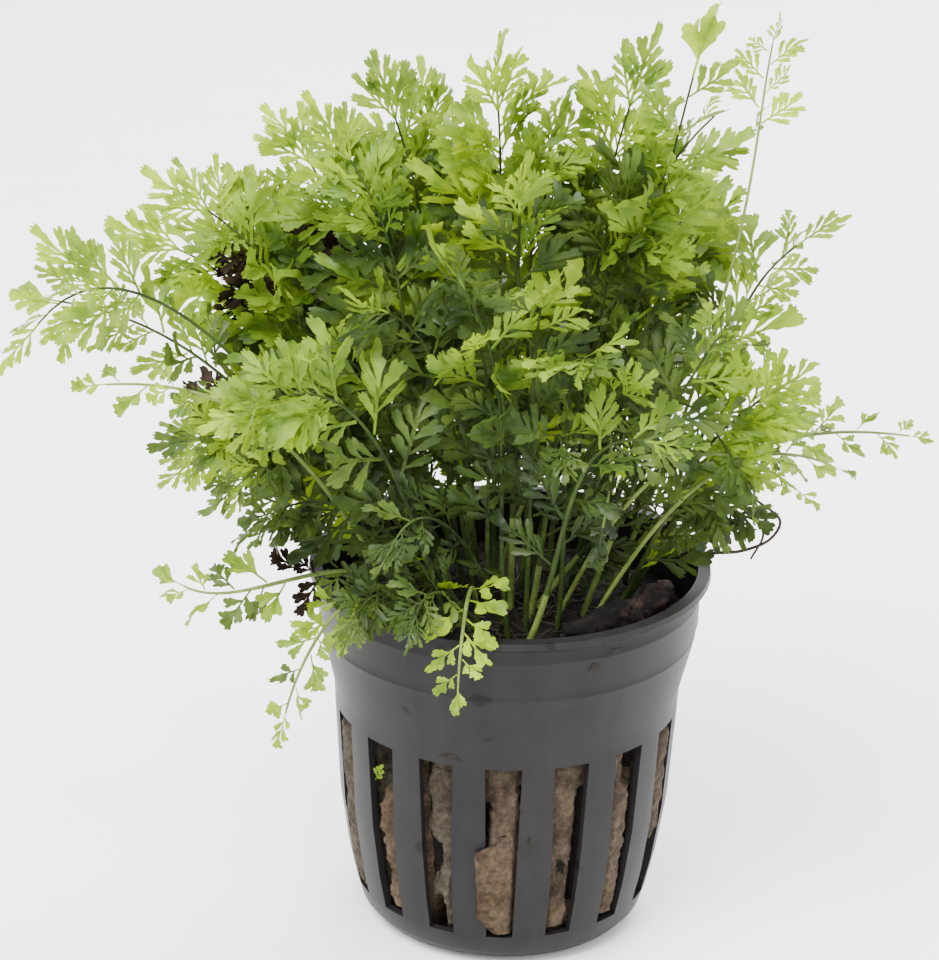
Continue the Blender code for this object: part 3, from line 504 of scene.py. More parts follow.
# Matte colours: noise values with their colours, then the noise's scale, the roughness and the bump's depth
ROUGH_TONES = {
    "wiry_root": ([(0.3, (0.01, 0.007, 0.006)), (0.7, (0.045, 0.03, 0.02))], 500.0, 0.62, 0.0002),
    "rootstock": ([(0.34, (0.004, 0.003, 0.003)), (0.52, (0.016, 0.009, 0.008)), (0.75, (0.07, 0.036, 0.03))],
                  900.0, 0.9, 0.0009),
    # near-black painted shade for the wool's deep recesses
    "wool_gap": ([(0.3, (0.002, 0.0015, 0.001)), (0.6, (0.007, 0.005, 0.0035)), (0.8, (0.02, 0.014, 0.009))],
                 900.0, 0.95, 0.0008),
    # near-black painted shade for the wool's top
    "wool_top_dark": ([(0.34, (0.001, 0.0008, 0.0006)), (0.56, (0.004, 0.003, 0.002)),
                       (0.78, (0.016, 0.01, 0.007))], 700.0, 0.95, 0.0009),
    "pot_dirt": ([(0.3, (0.004, 0.0035, 0.003)), (0.7, (0.02, 0.016, 0.012))], 1200.0, 0.85, 0.0003),
}
ROUGH_GRAIN = (6.0, 0.62)  # detail and roughness of their noise
ROUGH_GLOSS = 0.25
ROUGH_BUMP = 0.6

# Pot surface: a cloud of two tones, upright streaks and smudges
POT_CLOUD = (120.0, 4.0, 0.6)
POT_TONES = [(0.3, (0.0122, 0.0114, 0.0116)), (0.7, (0.0168, 0.0157, 0.016))]
POT_STREAK = (260.0, 3.0, 0.6)
POT_STRETCH = (1.0, 1.0, 0.12)
POT_LINES = [(0.35, (0.88, 0.88, 0.88)), (0.65, (1.08, 1.08, 1.08))]
POT_SPECK = (230.0, 2.0, 0.5)
POT_SMUDGES = [(0.68, (1.0, 1.0, 1.0)), (0.73, (0.5, 0.47, 0.45))]
POT_ROUGH = (0.34, 0.52)
POT_GLOSS = 0.1
POT_BUMP = (0.08, 0.0003)

# Paper under the pot
PAPER_GRAIN = (40.0, 2.0, 0.55)
PAPER_TONES = [(0.3, (0.91, 0.91, 0.91)), (0.7, (0.94, 0.94, 0.94))]
PAPER_FINISH = (0.5, 0.9)  # gloss and roughness

# Camera: sizes in metres, the lens and the view's centre in the photograph's pixels
CAMERA_DISTANCE = 0.4
CAMERA_AIM_Z = 0.025
CAMERA_NEAR = 0.01
CAMERA_ELEVATION = math.radians(26.7)
CAMERA_PITCH = math.radians(26.6)
CAMERA_YAW = math.radians(3.5)
FOCAL_PIXELS = 2998.0
IMAGE_SIZE = (939.0, 960.0)
VIEW_CENTRE = (341.0, 725.0)
SENSOR_WIDTH = 36.0

# Studio, in metres and watts: each light's place, size and power
FLOOR_HALF = 4.0
SKY_STRENGTH = 2.3
LIGHT_AIM = (0.0, 0.0, 0.07)
LIGHTS = {"key_light": ((-0.25, -0.35, 0.75), 0.5, 16.0), "back_light": ((0.2, 0.5, 0.6), 0.6, 10.0)}


def spread(a, b):
    """A fixed value from 0 to 1 for a pair of whole numbers; the second one tells draws apart."""
    value = math.sin(a * 12.9898 + b * 78.233) * 43758.5453
    return value - math.floor(value)


def unit(v):
    return v / np.linalg.norm(v)


def slot_half_width(z):
    """The slots narrow towards the pot's base."""
    heights = [SLOT_BOTTOM_Z, SLOT_TOP_Z]
    return float(np.interp(z, heights, [SLOT_BOTTOM_HALF_WIDTH, SLOT_TOP_HALF_WIDTH]))


def inner_radius(z):
    """Radius of the pot's inner wall at the slots' edges."""
    rows = POT_INSIDE_BELOW[:1] + [(r - WALL, h) for r, h in POT_SLOT_ROWS] + POT_INSIDE_ABOVE[::-1]
    return float(np.interp(z, [h for _, h in rows], [r for r, _ in rows]))


def wool_radius(z):
    """Radius of the plug behind a rib, whose flat inner face lies nearer to the axis."""
    radius = inner_radius(z)
    rib_half_angle = math.pi / SLOT_COUNT - math.asin(slot_half_width(z) / radius)
    return radius * math.cos(rib_half_angle) - WOOL_RIB_SPACE


def all_fronds():
    """The placed fronds, then the ones behind the crown."""
    plans = [Frond(*row) for row in FRONDS]
    for k in range(BACK_COUNT):
        heading = math.radians(np.interp(k, [0, BACK_COUNT - 1], BACK_HEADINGS))
        reach = BACK_REACH[k % len(BACK_REACH)]
        height = BACK_HEIGHT[(k + 1) % len(BACK_HEIGHT)]
        pitch = BACK_PITCH + height - min(BACK_HEIGHT)
        roll = BACK_ROLL * (spread(k, 3) - 0.5)
        plans.append(Frond(reach * math.cos(heading), reach * math.sin(heading), height, pitch, BACK_LEAN,
                           BACK_BARE, BACK_LEAF, BACK_LEAFLETS, roll, BACK_LOBES))
    return plans


def wool_top(radius):
    """Height of the wool's top at a distance from the pot's axis."""
    edge_z = WOOL_ROWS[-1]
    radii = [0.0, WOOL_SHOULDER[0], wool_radius(edge_z)]
    return float(np.interp(radius, radii, [WOOL_CROWN_Z, WOOL_SHOULDER[1], edge_z]))


def frond_seats(plans):
    """A standing place for each frond: the free seat nearest to a point pulled in from its tip."""
    seats = []
    for k in range(SEAT_COUNT):
        radius = SEAT_RADIUS * math.sqrt((k + 0.5) / SEAT_COUNT)
        xy = np.array([radius * math.cos(k * GOLDEN_ANGLE), radius * math.sin(k * GOLDEN_ANGLE)])
        if min(np.linalg.norm(xy - np.array(p[:2])) for p in RHIZOME_LINE) > SEAT_CLEAR:
            seats.append(xy)
    chosen = []
    for plan in plans:
        wish = np.array([plan.x, plan.y]) * SEAT_PULL
        if np.linalg.norm(wish) > SEAT_RADIUS:
            wish = unit(wish) * SEAT_RADIUS
        best = min(range(len(seats)), key=lambda i: np.linalg.norm(seats[i] - wish))
        chosen.append(seats.pop(best))
    return chosen


def stalk_course(plan, seat, sideways, upward):
    """Control points of a stalk's cubic curve, from its seat to the foot of the end fan."""
    foot = np.array([seat[0], seat[1], wool_top(np.linalg.norm(seat)) + GAP])
    tip = np.array([plan.x, plan.y, plan.z])
    heading = unit((tip - foot) * HORIZONTAL)
    pitch = math.radians(plan.pitch)
    end = heading * math.cos(pitch) + UP * math.sin(pitch)
    last = tip - end * plan.leaf * FAN_SHARE
    reach = np.linalg.norm(last - foot)
    start = unit(heading * plan.lean + UP)
    aside = np.cross(heading, UP) * sideways
    first = foot + start * reach * STALK_START_PULL + aside * STALK_START_SIDE + UP * upward
    second = last - end * reach * STALK_END_PULL + aside + UP * upward * STALK_END_RISE
    return foot, first, second, last, heading


def point_on(course, s):
    foot, first, second, last, _ = course
    r = 1 - s
    return r ** 3 * foot + 3 * s * r ** 2 * first + 3 * s ** 2 * r * second + s ** 3 * last


def frame_on(course, s, roll):
    """Centre, direction, side and upper direction of the stalk at a share of its length."""
    foot, first, second, last, heading = course
    r = 1 - s
    along = unit(r ** 2 * (first - foot) + 2 * s * r * (second - first) + s ** 2 * (last - second))
    upper = UP - heading
    upper = unit(upper - along * np.dot(upper, along))
    side = np.cross(along, upper)
    turn = math.radians(roll)
    turned = side * math.cos(turn) + upper * math.sin(turn)
    return point_on(course, s), along, turned, upper * math.cos(turn) - side * math.sin(turn)


def stalk_rings(plan, course):
    """Frames along the stalk, each with its half width."""
    steps = [plan.bare * k / STALK_BARE_SEGMENTS for k in range(STALK_BARE_SEGMENTS)]
    steps += [plan.bare + (1 - plan.bare) * k / plan.count for k in range(plan.count + 1)]
    widths = np.interp(steps, [0, plan.bare, 1], [STALK_BASE, STALK_BLADE, STALK_TIP])
    return [(*frame_on(course, s, plan.roll), width) for s, width in zip(steps, widths)]


def ring_corners(ring):
    """Left, right and keel corners of one ring."""
    centre, _, side, upper, w = ring
    return [centre - side * w + upper * w * STALK_RISE, centre + side * w + upper * w * STALK_RISE,
            centre - upper * w * STALK_KEEL]


def leaflet_sizes(index, plan, slot):
    """Length and half width of a leaflet, shorter towards the frond's tip."""
    share = (slot + 0.5) / plan.count
    variation = np.interp(spread(index, slot), [0, 1], LEAFLET_VARIATION)
    length = plan.leaf * (1.0 - LEAFLET_TAPER * share ** 2) * variation
    return length, length * LEAFLET_HALF_WIDTH


def leaflet_axes(along, across, upper, sweep, tilt):
    """Out, across and face directions of a leaflet, from its sweep and its tilt upwards in degrees."""
    sweep, tilt = math.radians(sweep), math.radians(tilt)
    lateral = across * math.cos(tilt) + upper * math.sin(tilt)
    out = along * math.cos(sweep) + lateral * math.sin(sweep)
    broad = along * math.sin(sweep) - lateral * math.cos(sweep)
    return out, broad, upper * math.cos(tilt) - across * math.sin(tilt)


def leaflet_frame(rings, slot, side, attempt):
    """Foot point and axes of a leaflet on one side of a stalk segment."""
    sweep_change, tilt, _ = attempt
    a, b = rings[STALK_BARE_SEGMENTS + slot], rings[STALK_BARE_SEGMENTS + slot + 1]
    corner = 1 if side > 0 else 0
    foot = (ring_corners(a)[corner] + ring_corners(b)[corner]) / 2
    along, upper = unit(a[1] + b[1]), unit(a[3] + b[3])
    across = unit(np.cross(along, upper)) * side
    return foot, *leaflet_axes(along, across, upper, LEAFLET_SWEEP + sweep_change, tilt)


def lobe_points(frame, length, half_width, lobes):
    foot, out, broad, face = frame
    pattern = THREE_LOBES if lobes == 3 else TWO_LOBES
    return [foot + out * length * u + broad * half_width * v - face * length * LEAFLET_DROOP * u * u
            for u, v in pattern]


def stalk_tries():
    """Steps sideways and upwards, the smallest first."""
    tries = [(sideways, upward) for sideways in STALK_SIDE_STEPS for upward in STALK_UP_STEPS]
    return sorted(tries, key=lambda t: abs(t[0]) + abs(t[1]) * UP_STEP_WEIGHT)


def leaflet_side(index, slot):
    return 1 if (slot + index) % 2 == 0 else -1


def as_lists(points):
    return [tuple(float(c) * MM for c in p) for p in points]


def join(points, faces, looks, part, look):
    """Adds a part's points and faces to those of a piece, all with one look."""
    more, more_faces = part
    faces += [tuple(i + len(points) for i in face) for face in more_faces]
    points += list(more)
    looks += [look] * len(more_faces)


def add_piece(name, points, faces, mats, names, looks=None, crease=50.0):
    """A mesh object from points in millimetres, with the named materials and one of them for each face."""
    mesh = bpy.data.meshes.new(name)
    mesh.from_pydata(as_lists(points), [], [tuple(int(i) for i in face) for face in faces])
    for look in names:
        mesh.materials.append(mats[look])
    if looks is not None:
        mesh.polygons.foreach_set("material_index", [names.index(look) for look in looks])
    mesh.shade_smooth()
    mesh.set_sharp_from_angle(angle=math.radians(crease))
    ob = bpy.data.objects.new(name, mesh)
    bpy.context.scene.collection.objects.link(ob)
    return ob


def belongs(ob, node):
    """The piece rides on the pot's body and stands for its solid, which is hidden."""
    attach(ob, ROOT_BODY)
    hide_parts(node)


# Materials

def nodes_of(name):
    mat = bpy.data.materials.new(name)
    mat.use_nodes = True
    return mat, mat.node_tree


def noise_node(tree, scale, detail, roughness, stretch=None):
    """Values of a noise in the object's own space; stretch scales the three axes."""
    texture = tree.nodes.new("ShaderNodeTexNoise")
    texture.inputs["Scale"].default_value = scale
    texture.inputs["Detail"].default_value = detail
    texture.inputs["Roughness"].default_value = roughness
    place = tree.nodes.new("ShaderNodeTexCoord").outputs["Object"]
    if stretch is not None:
        mapping = tree.nodes.new("ShaderNodeMapping")
        mapping.inputs["Scale"].default_value = stretch
        tree.links.new(place, mapping.inputs["Vector"])
        place = mapping.outputs["Vector"]
    tree.links.new(place, texture.inputs["Vector"])
    return texture.outputs["Fac"]


def ramp_colour(tree, value, stops):
    """Colours for a value: stops are (place, colour)."""
    ramp = tree.nodes.new("ShaderNodeValToRGB")
    elements = ramp.color_ramp.elements
    elements[0].position, elements[0].color = stops[0][0], (*stops[0][1], 1.0)
    elements[1].position, elements[1].color = stops[-1][0], (*stops[-1][1], 1.0)
    for place, colour in stops[1:-1]:
        element = elements.new(place)
        element.color = (*colour, 1.0)
    tree.links.new(value, ramp.inputs["Fac"])
    return ramp.outputs["Color"]


def multiplied(tree, first, second):
    """The product of two colours."""
    mix = tree.nodes.new("ShaderNodeMix")
    mix.data_type = "RGBA"
    mix.blend_type = "MULTIPLY"
    mix.inputs["Factor"].default_value = 1.0
    tree.links.new(first, mix.inputs[6])
    tree.links.new(second, mix.inputs[7])
    return mix.outputs[2]


def surface(tree, colour, gloss, roughness=0.5):
    """The material's own shader with its colour and finish."""
    shader = tree.nodes["Principled BSDF"]
    tree.links.new(colour, shader.inputs["Base Color"])
    shader.inputs["Roughness"].default_value = roughness
    shader.inputs["Specular IOR Level"].default_value = gloss
    return shader


def bump(tree, shader, height, strength, distance):
    node = tree.nodes.new("ShaderNodeBump")
    node.inputs["Strength"].default_value = strength
    node.inputs["Distance"].default_value = distance
    tree.links.new(height, node.inputs["Height"])
    tree.links.new(node.outputs["Normal"], shader.inputs["Normal"])


def leaf_material(name, dark, light, glow, glow_share, gloss):
    """A thin leaf: mottled colour, a slight gloss, and light that comes through from behind."""
    mat, tree = nodes_of(name)
    cloud, grain = noise_node(tree, *LEAF_CLOUD), noise_node(tree, *LEAF_GRAIN)
    mottle = ramp_colour(tree, cloud, list(zip(LEAF_MOTTLE, (dark, light))))
    colour = multiplied(tree, mottle, ramp_colour(tree, grain, LEAF_SPECKS))
    shader = surface(tree, colour, gloss, LEAF_ROUGH)
    bump(tree, shader, grain, *LEAF_BUMP)
    behind = tree.nodes.new("ShaderNodeBsdfTranslucent")
    dim = tuple(GLOW_DIM * c for c in glow)
    through = ramp_colour(tree, cloud, list(zip(GLOW_STOPS, (dim, glow))))
    tree.links.new(through, behind.inputs["Color"])
    mix = tree.nodes.new("ShaderNodeMixShader")
    mix.inputs["Fac"].default_value = glow_share
    tree.links.new(shader.outputs["BSDF"], mix.inputs[1])
    tree.links.new(behind.outputs["BSDF"], mix.inputs[2])
    tree.links.new(mix.outputs["Shader"], tree.nodes["Material Output"].inputs["Surface"])
    return mat


def rough_material(name, stops, scale, roughness, depth):
    """A matte material with colours from layered noise and a bump of the same noise."""
    mat, tree = nodes_of(name)
    grain = noise_node(tree, scale, *ROUGH_GRAIN)
    shader = surface(tree, ramp_colour(tree, grain, stops), ROUGH_GLOSS, roughness)
    bump(tree, shader, grain, ROUGH_BUMP, depth)
    return mat


def wool_material(name, tones):
    """Matted fibres: a fine grain of colours, shaded by a broader cloud."""
    mat, tree = nodes_of(name)
    grain = noise_node(tree, *WOOL_GRAIN)
    shade = ramp_colour(tree, noise_node(tree, *WOOL_CLOUD), WOOL_SHADES)
    colour = multiplied(tree, ramp_colour(tree, grain, list(zip(WOOL_STOPS, tones))), shade)
    bump(tree, surface(tree, colour, *WOOL_FINISH), grain, *WOOL_BUMP)
    return mat


def pot_material():
    """Satin moulded plastic, with a faint mottle, upright streaks and a few dark smudges."""
    mat, tree = nodes_of("pot_plastic_satin")
    cloud, streak = noise_node(tree, *POT_CLOUD), noise_node(tree, *POT_STREAK, POT_STRETCH)
    streaked = multiplied(tree, ramp_colour(tree, cloud, POT_TONES), ramp_colour(tree, streak, POT_LINES))
    smudges = ramp_colour(tree, noise_node(tree, *POT_SPECK), POT_SMUDGES)
    shader = surface(tree, multiplied(tree, streaked, smudges), POT_GLOSS)
    rough = tree.nodes.new("ShaderNodeMapRange")
    rough.inputs["To Min"].default_value, rough.inputs["To Max"].default_value = POT_ROUGH
    tree.links.new(cloud, rough.inputs["Value"])
    tree.links.new(rough.outputs["Result"], shader.inputs["Roughness"])
    bump(tree, shader, streak, *POT_BUMP)
    return mat


def make_materials():
    mats = {name: leaf_material(name, *tones) for name, tones in LEAF_TONES.items()}
    mats.update({name: wool_material(name, tones) for name, tones in WOOL_TONES.items()})
    mats.update({name: rough_material(name, *facts) for name, facts in ROUGH_TONES.items()})
    mats["pot_plastic_satin"] = pot_material()
    return mats


# Tubes

def ring_faces(rows, sides):
    """Faces of a closed tube of rings, the two ends first."""
    faces = [tuple(reversed(range(sides))), tuple((rows - 1) * sides + k for k in range(sides))]
    for row in range(rows - 1):
        for k in range(sides):
            a, b = row * sides + k, row * sides + (k + 1) % sides
            faces.append((a, b, b + sides, a + sides))
    return faces


def tube_rings(line, radii, sides):
    """Points and faces of a closed round tube along a line of points."""
    line = np.array(line, float)
    along = np.gradient(line, axis=0)
    along /= np.linalg.norm(along, axis=1)[:, None]
    across = np.cross(along[0], UP if abs(along[0][2]) < 0.9 else np.array([1.0, 0.0, 0.0]))
    points = []
    for centre, direction, radius in zip(line, along, radii):
        across = unit(across - direction * np.dot(across, direction))
        over = np.cross(direction, across)
        for k in range(sides):
            angle = 2 * math.pi * k / sides
            points.append(centre + radius * (across * math.cos(angle) + over * math.sin(angle)))
    return points, ring_faces(len(line), sides)


def smooth_line(points, steps):
    """A smooth curve through points, with that many steps for each stretch."""
    p = np.array(points, float)
    p = np.vstack([2 * p[0] - p[1], p, 2 * p[-1] - p[-2]])
    out = []
    for i in range(1, len(p) - 2):
        for k in range(steps):
            t = k / steps
            out.append(0.5 * (2 * p[i] + (p[i + 1] - p[i - 1]) * t
                              + (2 * p[i - 1] - 5 * p[i] + 4 * p[i + 1] - p[i + 2]) * t ** 2
                              + (3 * p[i] - p[i - 1] - 3 * p[i + 1] + p[i + 2]) * t ** 3))
    out.append(p[-2])
    return np.array(out)


# Leaflet templates

def spread_between(limits, a, b):
    return limits[0] + (limits[1] - limits[0]) * spread(a, b)


def fingers_of(kind, seed):
    """Base, angle in degrees, length, half width and teeth of each finger."""
    fingers = []
    for k in range(kind.count):
        share = k / (kind.count - 1)
        angle = kind.angle * (1.0 - ANGLE_LOSS * share) * (1 if (k + seed) % 2 else -1)
        swell = math.sin(math.pi * (SWELL_RANGE[0] + (SWELL_RANGE[1] - SWELL_RANGE[0]) * share))
        length = kind.length * (1.0 - LENGTH_SWELL / 2 + LENGTH_SWELL * swell)
        base = kind.first + (kind.last - kind.first) * share
        fingers.append((base, angle, length, kind.width, kind.teeth))
    further, longer, wider = END_FINGER
    fingers.append((kind.last + further, 0.0, kind.length * longer, kind.width * wider, 3))
    return [(base, angle + ANGLE_VARIATION * (spread(seed, k) - 0.5),
             length * spread_between(LENGTH_VARIATION, seed, k + 20),
             width * spread_between(WIDTH_VARIATION, seed, k + 40), teeth)
            for k, (base, angle, length, width, teeth) in enumerate(fingers)]


def finger_end(teeth):
    """Places round a finger's toothed end: share of its length and of its half width."""
    places = []
    step = 2.0 / teeth
    for k in range(teeth):
        middle = -1.0 + (k + 0.5) * step
        reach = 1.0 - TOOTH_ROUND * middle ** 2
        places += [(reach, middle - step * TOOTH_FLAT / 2), (reach, middle + step * TOOTH_FLAT / 2)]
        if k < teeth - 1:
            places.append((1.0 - TOOTH_DEPTH, middle + step / 2))
    return places


def strip_triangles(rows):
    """Triangles between rows of three points: left, middle and right."""
    triangles = []
    for row in range(rows - 1):
        a, b = 3 * row, 3 * row + 3
        triangles += [(a, a + 1, b + 1), (a, b + 1, b), (a + 1, a + 2, b + 2), (a + 1, b + 2, b + 1)]
    return triangles


def finger_sheet(finger, seed):
    """A finger's points on the leaflet's flat plan, with their heights, and its triangles."""
    base, angle, length, width, teeth = finger
    turn = math.radians(angle)
    along = np.array([math.cos(turn), math.sin(turn)])
    across = np.array([-along[1], along[0]])
    mirrored = spread(seed, 60) < 0.5
    places = []
    for share, left, right in FINGER_ROWS:
        if mirrored:
            left, right = right, left
        places += [(share, -left), (share, 0.0), (share, right)]
    rows = len(FINGER_ROWS)
    triangles = strip_triangles(rows)
    end = finger_end(teeth)
    middle = 3 * rows - 2
    ring = [3 * rows - 3] + [3 * rows + k for k in range(len(end))] + [3 * rows - 1]
    triangles += [(middle, b, a) for a, b in zip(ring, ring[1:])]
    places += end
    slope = FINGER_LIFT * (spread(seed, 61) - 0.5)
    points = []
    for share, side in places:
        u, v = np.array([base, 0.0]) + along * share * length + across * side * width
        points.append((u, v, FINGER_FOLD * abs(side) * width + slope * share * length))
    return points, triangles


def leaflet_template(kind, seed):
    """A leaflet's points, as shares along, across and up, and its triangles."""
    fingers = fingers_of(kind, seed)
    points, triangles = [], []
    for share in (0.0, kind.first, fingers[-1][0]):
        points += [(share, -LEAF_STALK_WIDTH, LEAF_STALK_FOLD), (share, 0.0, 0.0),
                   (share, LEAF_STALK_WIDTH, LEAF_STALK_FOLD)]
    triangles += strip_triangles(3)
    for k, finger in enumerate(fingers):
        more, more_triangles = finger_sheet(finger, 31 * seed + k)
        triangles += [tuple(i + len(points) for i in t) for t in more_triangles]
        points += more
    return np.array(points), np.array(triangles)


def all_templates(kinds):
    return [leaflet_template(kind, 7 * k + j) for k, kind in enumerate(kinds) for j in range(VARIANTS)]


def leaflet_mesh(template, place, length, seed):
    """Points and triangles of one leaflet on its frame: foot, out, across and face directions."""
    plan, triangles = template
    foot, out, broad, face = place
    u, v, fold = plan[:, 0], plan[:, 1], plan[:, 2]
    cup = LIVELY * (CUP_FROM + spread(seed, 1))
    twist = LIVELY * TWIST * (spread(seed, 2) - 0.5)
    wave = LIVELY * WAVE_HEIGHT * np.sin(WAVE_ACROSS * v + WAVE_ALONG * u + ABOUT_A_TURN * spread(seed, 3))
    lift = -LEAFLET_DROOP * u ** 2 + cup * v ** 2 + twist * u * v + wave * (u ** 2 + v ** 2) + fold
    points = foot + length * (np.outer(u, out) + np.outer(v, broad) + np.outer(lift, face))
    return points, [tuple(t) for t in triangles.tolist()]


# Fronds

def node_tree(name):
    """Search tree of a node's solid, in millimetres."""
    mesh = frame["nodes"][name].data
    points = [v.co / MM for v in mesh.vertices]
    return BVHTree.FromPolygons(points, [tuple(p.vertices) for p in mesh.polygons])


def lies_on(tree, points):
    """True if every point touches the solid."""
    return all(tree.find_nearest(Vector(p), TOUCH)[0] is not None for p in points)


def find_stalk(plan, seat, tree):
    """The course and rings that the frond's solid was built on."""
    for sideways, upward in stalk_tries():
        course = stalk_course(plan, seat, sideways, upward)
        rings = stalk_rings(plan, course)
        if all(lies_on(tree, ring_corners(ring)) for ring in (rings[1], rings[3], rings[-2])):
            return course, rings
    return None


def found_leaflets(index, plan, rings, tree):
    """Frame and length of each leaflet of the solid, by slot, and of the end fan."""
    found = {}
    centre, along, side, upper, _ = rings[-1]
    fan = (centre, along, side, upper)
    fan_length = plan.leaf * FAN_SHARE
    if lies_on(tree, lobe_points(fan, fan_length, fan_length * FAN_HALF_WIDTH, plan.lobes)):
        found["end"] = (fan, fan_length)
    for slot in range(plan.count):
        length, half_width = leaflet_sizes(index, plan, slot)
        for attempt in LEAFLET_TRIES:
            place = leaflet_frame(rings, slot, leaflet_side(index, slot), attempt)
            tips = lobe_points(place, length * attempt[2], half_width * attempt[2], plan.lobes)
            if lies_on(tree, tips):
                found[slot] = (place, length * attempt[2])
                break
    return found


def leaflet_middle(place, length):
    return place[0] + place[1] * length * MIDDLE_SHARE


def free_leaflet(plan, course, s, side, seed):
    """Frame and length of an extra leaflet at a share of the stalk's length."""
    centre, along, turned, upper = frame_on(course, s, plan.roll + EXTRA_TURN * (spread(seed, 31) - 0.5))
    tilt = EXTRA_TILT * (spread(seed, 32) - EXTRA_DOWN)
    sweep = LEAFLET_SWEEP + EXTRA_SWEEP * (spread(seed, 33) - 0.5)
    place = (centre, *leaflet_axes(along, turned * side, upper, sweep, tilt))
    taper = 1.0 - EXTRA_TAPER * max(0.0, (s - plan.bare) / (1 - plan.bare)) ** 2
    low = float(np.interp(s, [EXTRA_FROM, plan.bare], [EXTRA_LOWEST, 1.0]))
    return place, plan.leaf * taper * low * EXTRA_LENGTH * spread_between(EXTRA_LENGTHS, seed, 34)


def extra_leaflets(index, plan, course, taken):
    """Leaflets between and below those of the solid, turned more freely, where there is space."""
    sparse = index + 1 in SPARSE_FRONDS
    extras = []
    shares = np.linspace(EXTRA_FROM, EXTRA_TO, EXTRA_STEPS)
    for number, share in enumerate(shares):
        for side in (-1, 1):
            seed = 200 * index + 2 * number + (side > 0)
            s = share + 0.5 * (shares[1] - shares[0]) * (spread(seed, 30) - 0.5)
            place, length = free_leaflet(plan, course, s, side, seed)
            middle = leaflet_middle(place, length)
            in_the_open = np.linalg.norm((middle - OPEN_MIDDLE) / OPEN_SIZE) < 1.0
            if in_the_open or (sparse and s < plan.bare):
                continue
            outside = np.linalg.norm((middle - CROWN_CENTRE) / CROWN_SIZE)
            space = SPARSE_SPACE if sparse else float(np.interp(outside, [MID_FROM, LIGHT_FROM], EXTRA_SPACE))
            if all(np.linalg.norm(middle - other) > space for other in taken):
                taken.append(middle)
                extras.append((place, length))
    return extras


def end_leaflets(leaflets):
    """Two leaflets beside the one at the frond's end."""
    if "end" not in leaflets:
        return []
    (foot, out, broad, face), length = leaflets["end"]
    more = []
    for degrees in END_TURNS:
        cosine, sine = math.cos(math.radians(degrees)), math.sin(math.radians(degrees))
        place = (foot, out * cosine + broad * sine, broad * cosine - out * sine, face)
        more.append((place, length * END_SHARE))
    return more


def grown_leaflets(index, plan, course, leaflets, taken):
    """Frame and length of every leaflet that the frond shows."""
    grown = list(leaflets.values())
    if index + 1 not in SPARSE_FRONDS:
        grown += end_leaflets(leaflets)
    if index + 1 != WISP:
        grown += extra_leaflets(index, plan, course, taken)
    return grown


def stalk_mesh(number, plan, course):
    """A round tapering stalk along the frond's curve, sunk a little into the wool, and its looks."""
    young = plan.lobes == 2
    slim = 1.0 if young or number in PALE_STALKS else STALK_SLIM
    if number == WISP:
        slim = WISP_SLIM
    shares, widths = zip(*(YOUNG_STALK_RADII if young else STALK_RADII))
    steps = np.linspace(0.0, 1.0, STALK_STEPS)
    line = [course[0] - UP * STALK_SINK] + [point_on(course, s) for s in steps]
    radii = [widths[0] * slim] + [float(np.interp(s, shares, widths)) * slim for s in steps]
    points, faces = tube_rings(line, radii, STALK_SIDES)
    pale_all_along = young or number == WISP
    foot = "frond_stalk" if pale_all_along or number in PALE_STALKS else "frond_twig"
    blade = "frond_stalk" if pale_all_along else "frond_twig"
    bare_faces = 2 + STALK_SIDES * int(plan.bare * STALK_STEPS)
    return points, faces, [foot] * bare_faces + [blade] * (len(faces) - bare_faces)


def leaf_tone_with_painted_light(middle, index, seed):
    """Material of a leaflet: painted light makes it lighter towards the outside and the top of the crown, and
    painted shade makes it darker within the crown and at the listed places.
    """
    if any(np.linalg.norm(middle - place) < reach for place, reach in DEAD_PLACES):
        return "leaf_dead"
    if spread(seed, 13) < LIGHT_SHARES.get(index + 1, 0.0):
        return "leaf_light"
    away = (middle - CROWN_CENTRE) / CROWN_SIZE
    value = OUT_WEIGHT * np.linalg.norm(away) + HEIGHT_WEIGHT * away[2]
    value += FROND_NOISE * (spread(index, 17) - 0.5) + LEAFLET_NOISE * (spread(seed, 5) - 0.5)
    # painted shade and painted light at the listed places
    for centre, size, change in PAINTED_SHADE_AND_LIGHT_PLACES:
        value += change * max(0.0, 1.0 - np.linalg.norm((middle - centre) / size))
    for tone, least in (("leaf_light", LIGHT_FROM), ("leaf_mid", MID_FROM), ("leaf_deep", DARK_UNDER)):
        if value > least:
            return tone
    return "leaf_shade"


def frond_stands():
    """Index, plan, course and leaflets of each frond, as its solid has them."""
    plans = all_fronds()
    stands = []
    for index, (plan, seat) in enumerate(zip(plans, frond_seats(plans))):
        name = "frond_%02d" % (index + 1)
        tree = node_tree(name)
        stalk = find_stalk(plan, seat, tree)
        if stalk is None:
            raise ValueError(name + " doesn't follow its plan")
        stands.append((index, plan, stalk[0], found_leaflets(index, plan, stalk[1], tree)))
    return stands


def build_fronds(mats):
    """One detailed piece for each frond, in place of its solid."""
    kinds = {3: all_templates(FULL_KINDS), 2: all_templates(YOUNG_KINDS)}
    trident = leaflet_template(TRIDENT, TRIDENT_SEED)
    stands = frond_stands()
    taken = [leaflet_middle(*leaflet) for *_, leaflets in stands for leaflet in leaflets.values()]
    for index, plan, course, leaflets in stands:
        points, faces, looks = stalk_mesh(index + 1, plan, course)
        templates = kinds[plan.lobes]
        for number, (place, length) in enumerate(grown_leaflets(index, plan, course, leaflets, taken)):
            seed = 100 * index + number
            template = templates[int(spread(seed, 11) * len(templates))]
            if index + 1 == TRIDENT_FROND and number == 0:
                template = trident
            if plan.lobes == 2:
                length *= YOUNG_GROWTH
            tone = leaf_tone_with_painted_light(leaflet_middle(place, length), index, seed)
            if tone == "leaf_dead":
                length *= DEAD_SIZE
            join(points, faces, looks, leaflet_mesh(template, place, length, seed), tone)
        name = "frond_%02d" % (index + 1)
        ob = add_piece("fern_" + name, points, faces, mats, list(LEAF_TONES), looks)
        belongs(ob, name)


# Net pot

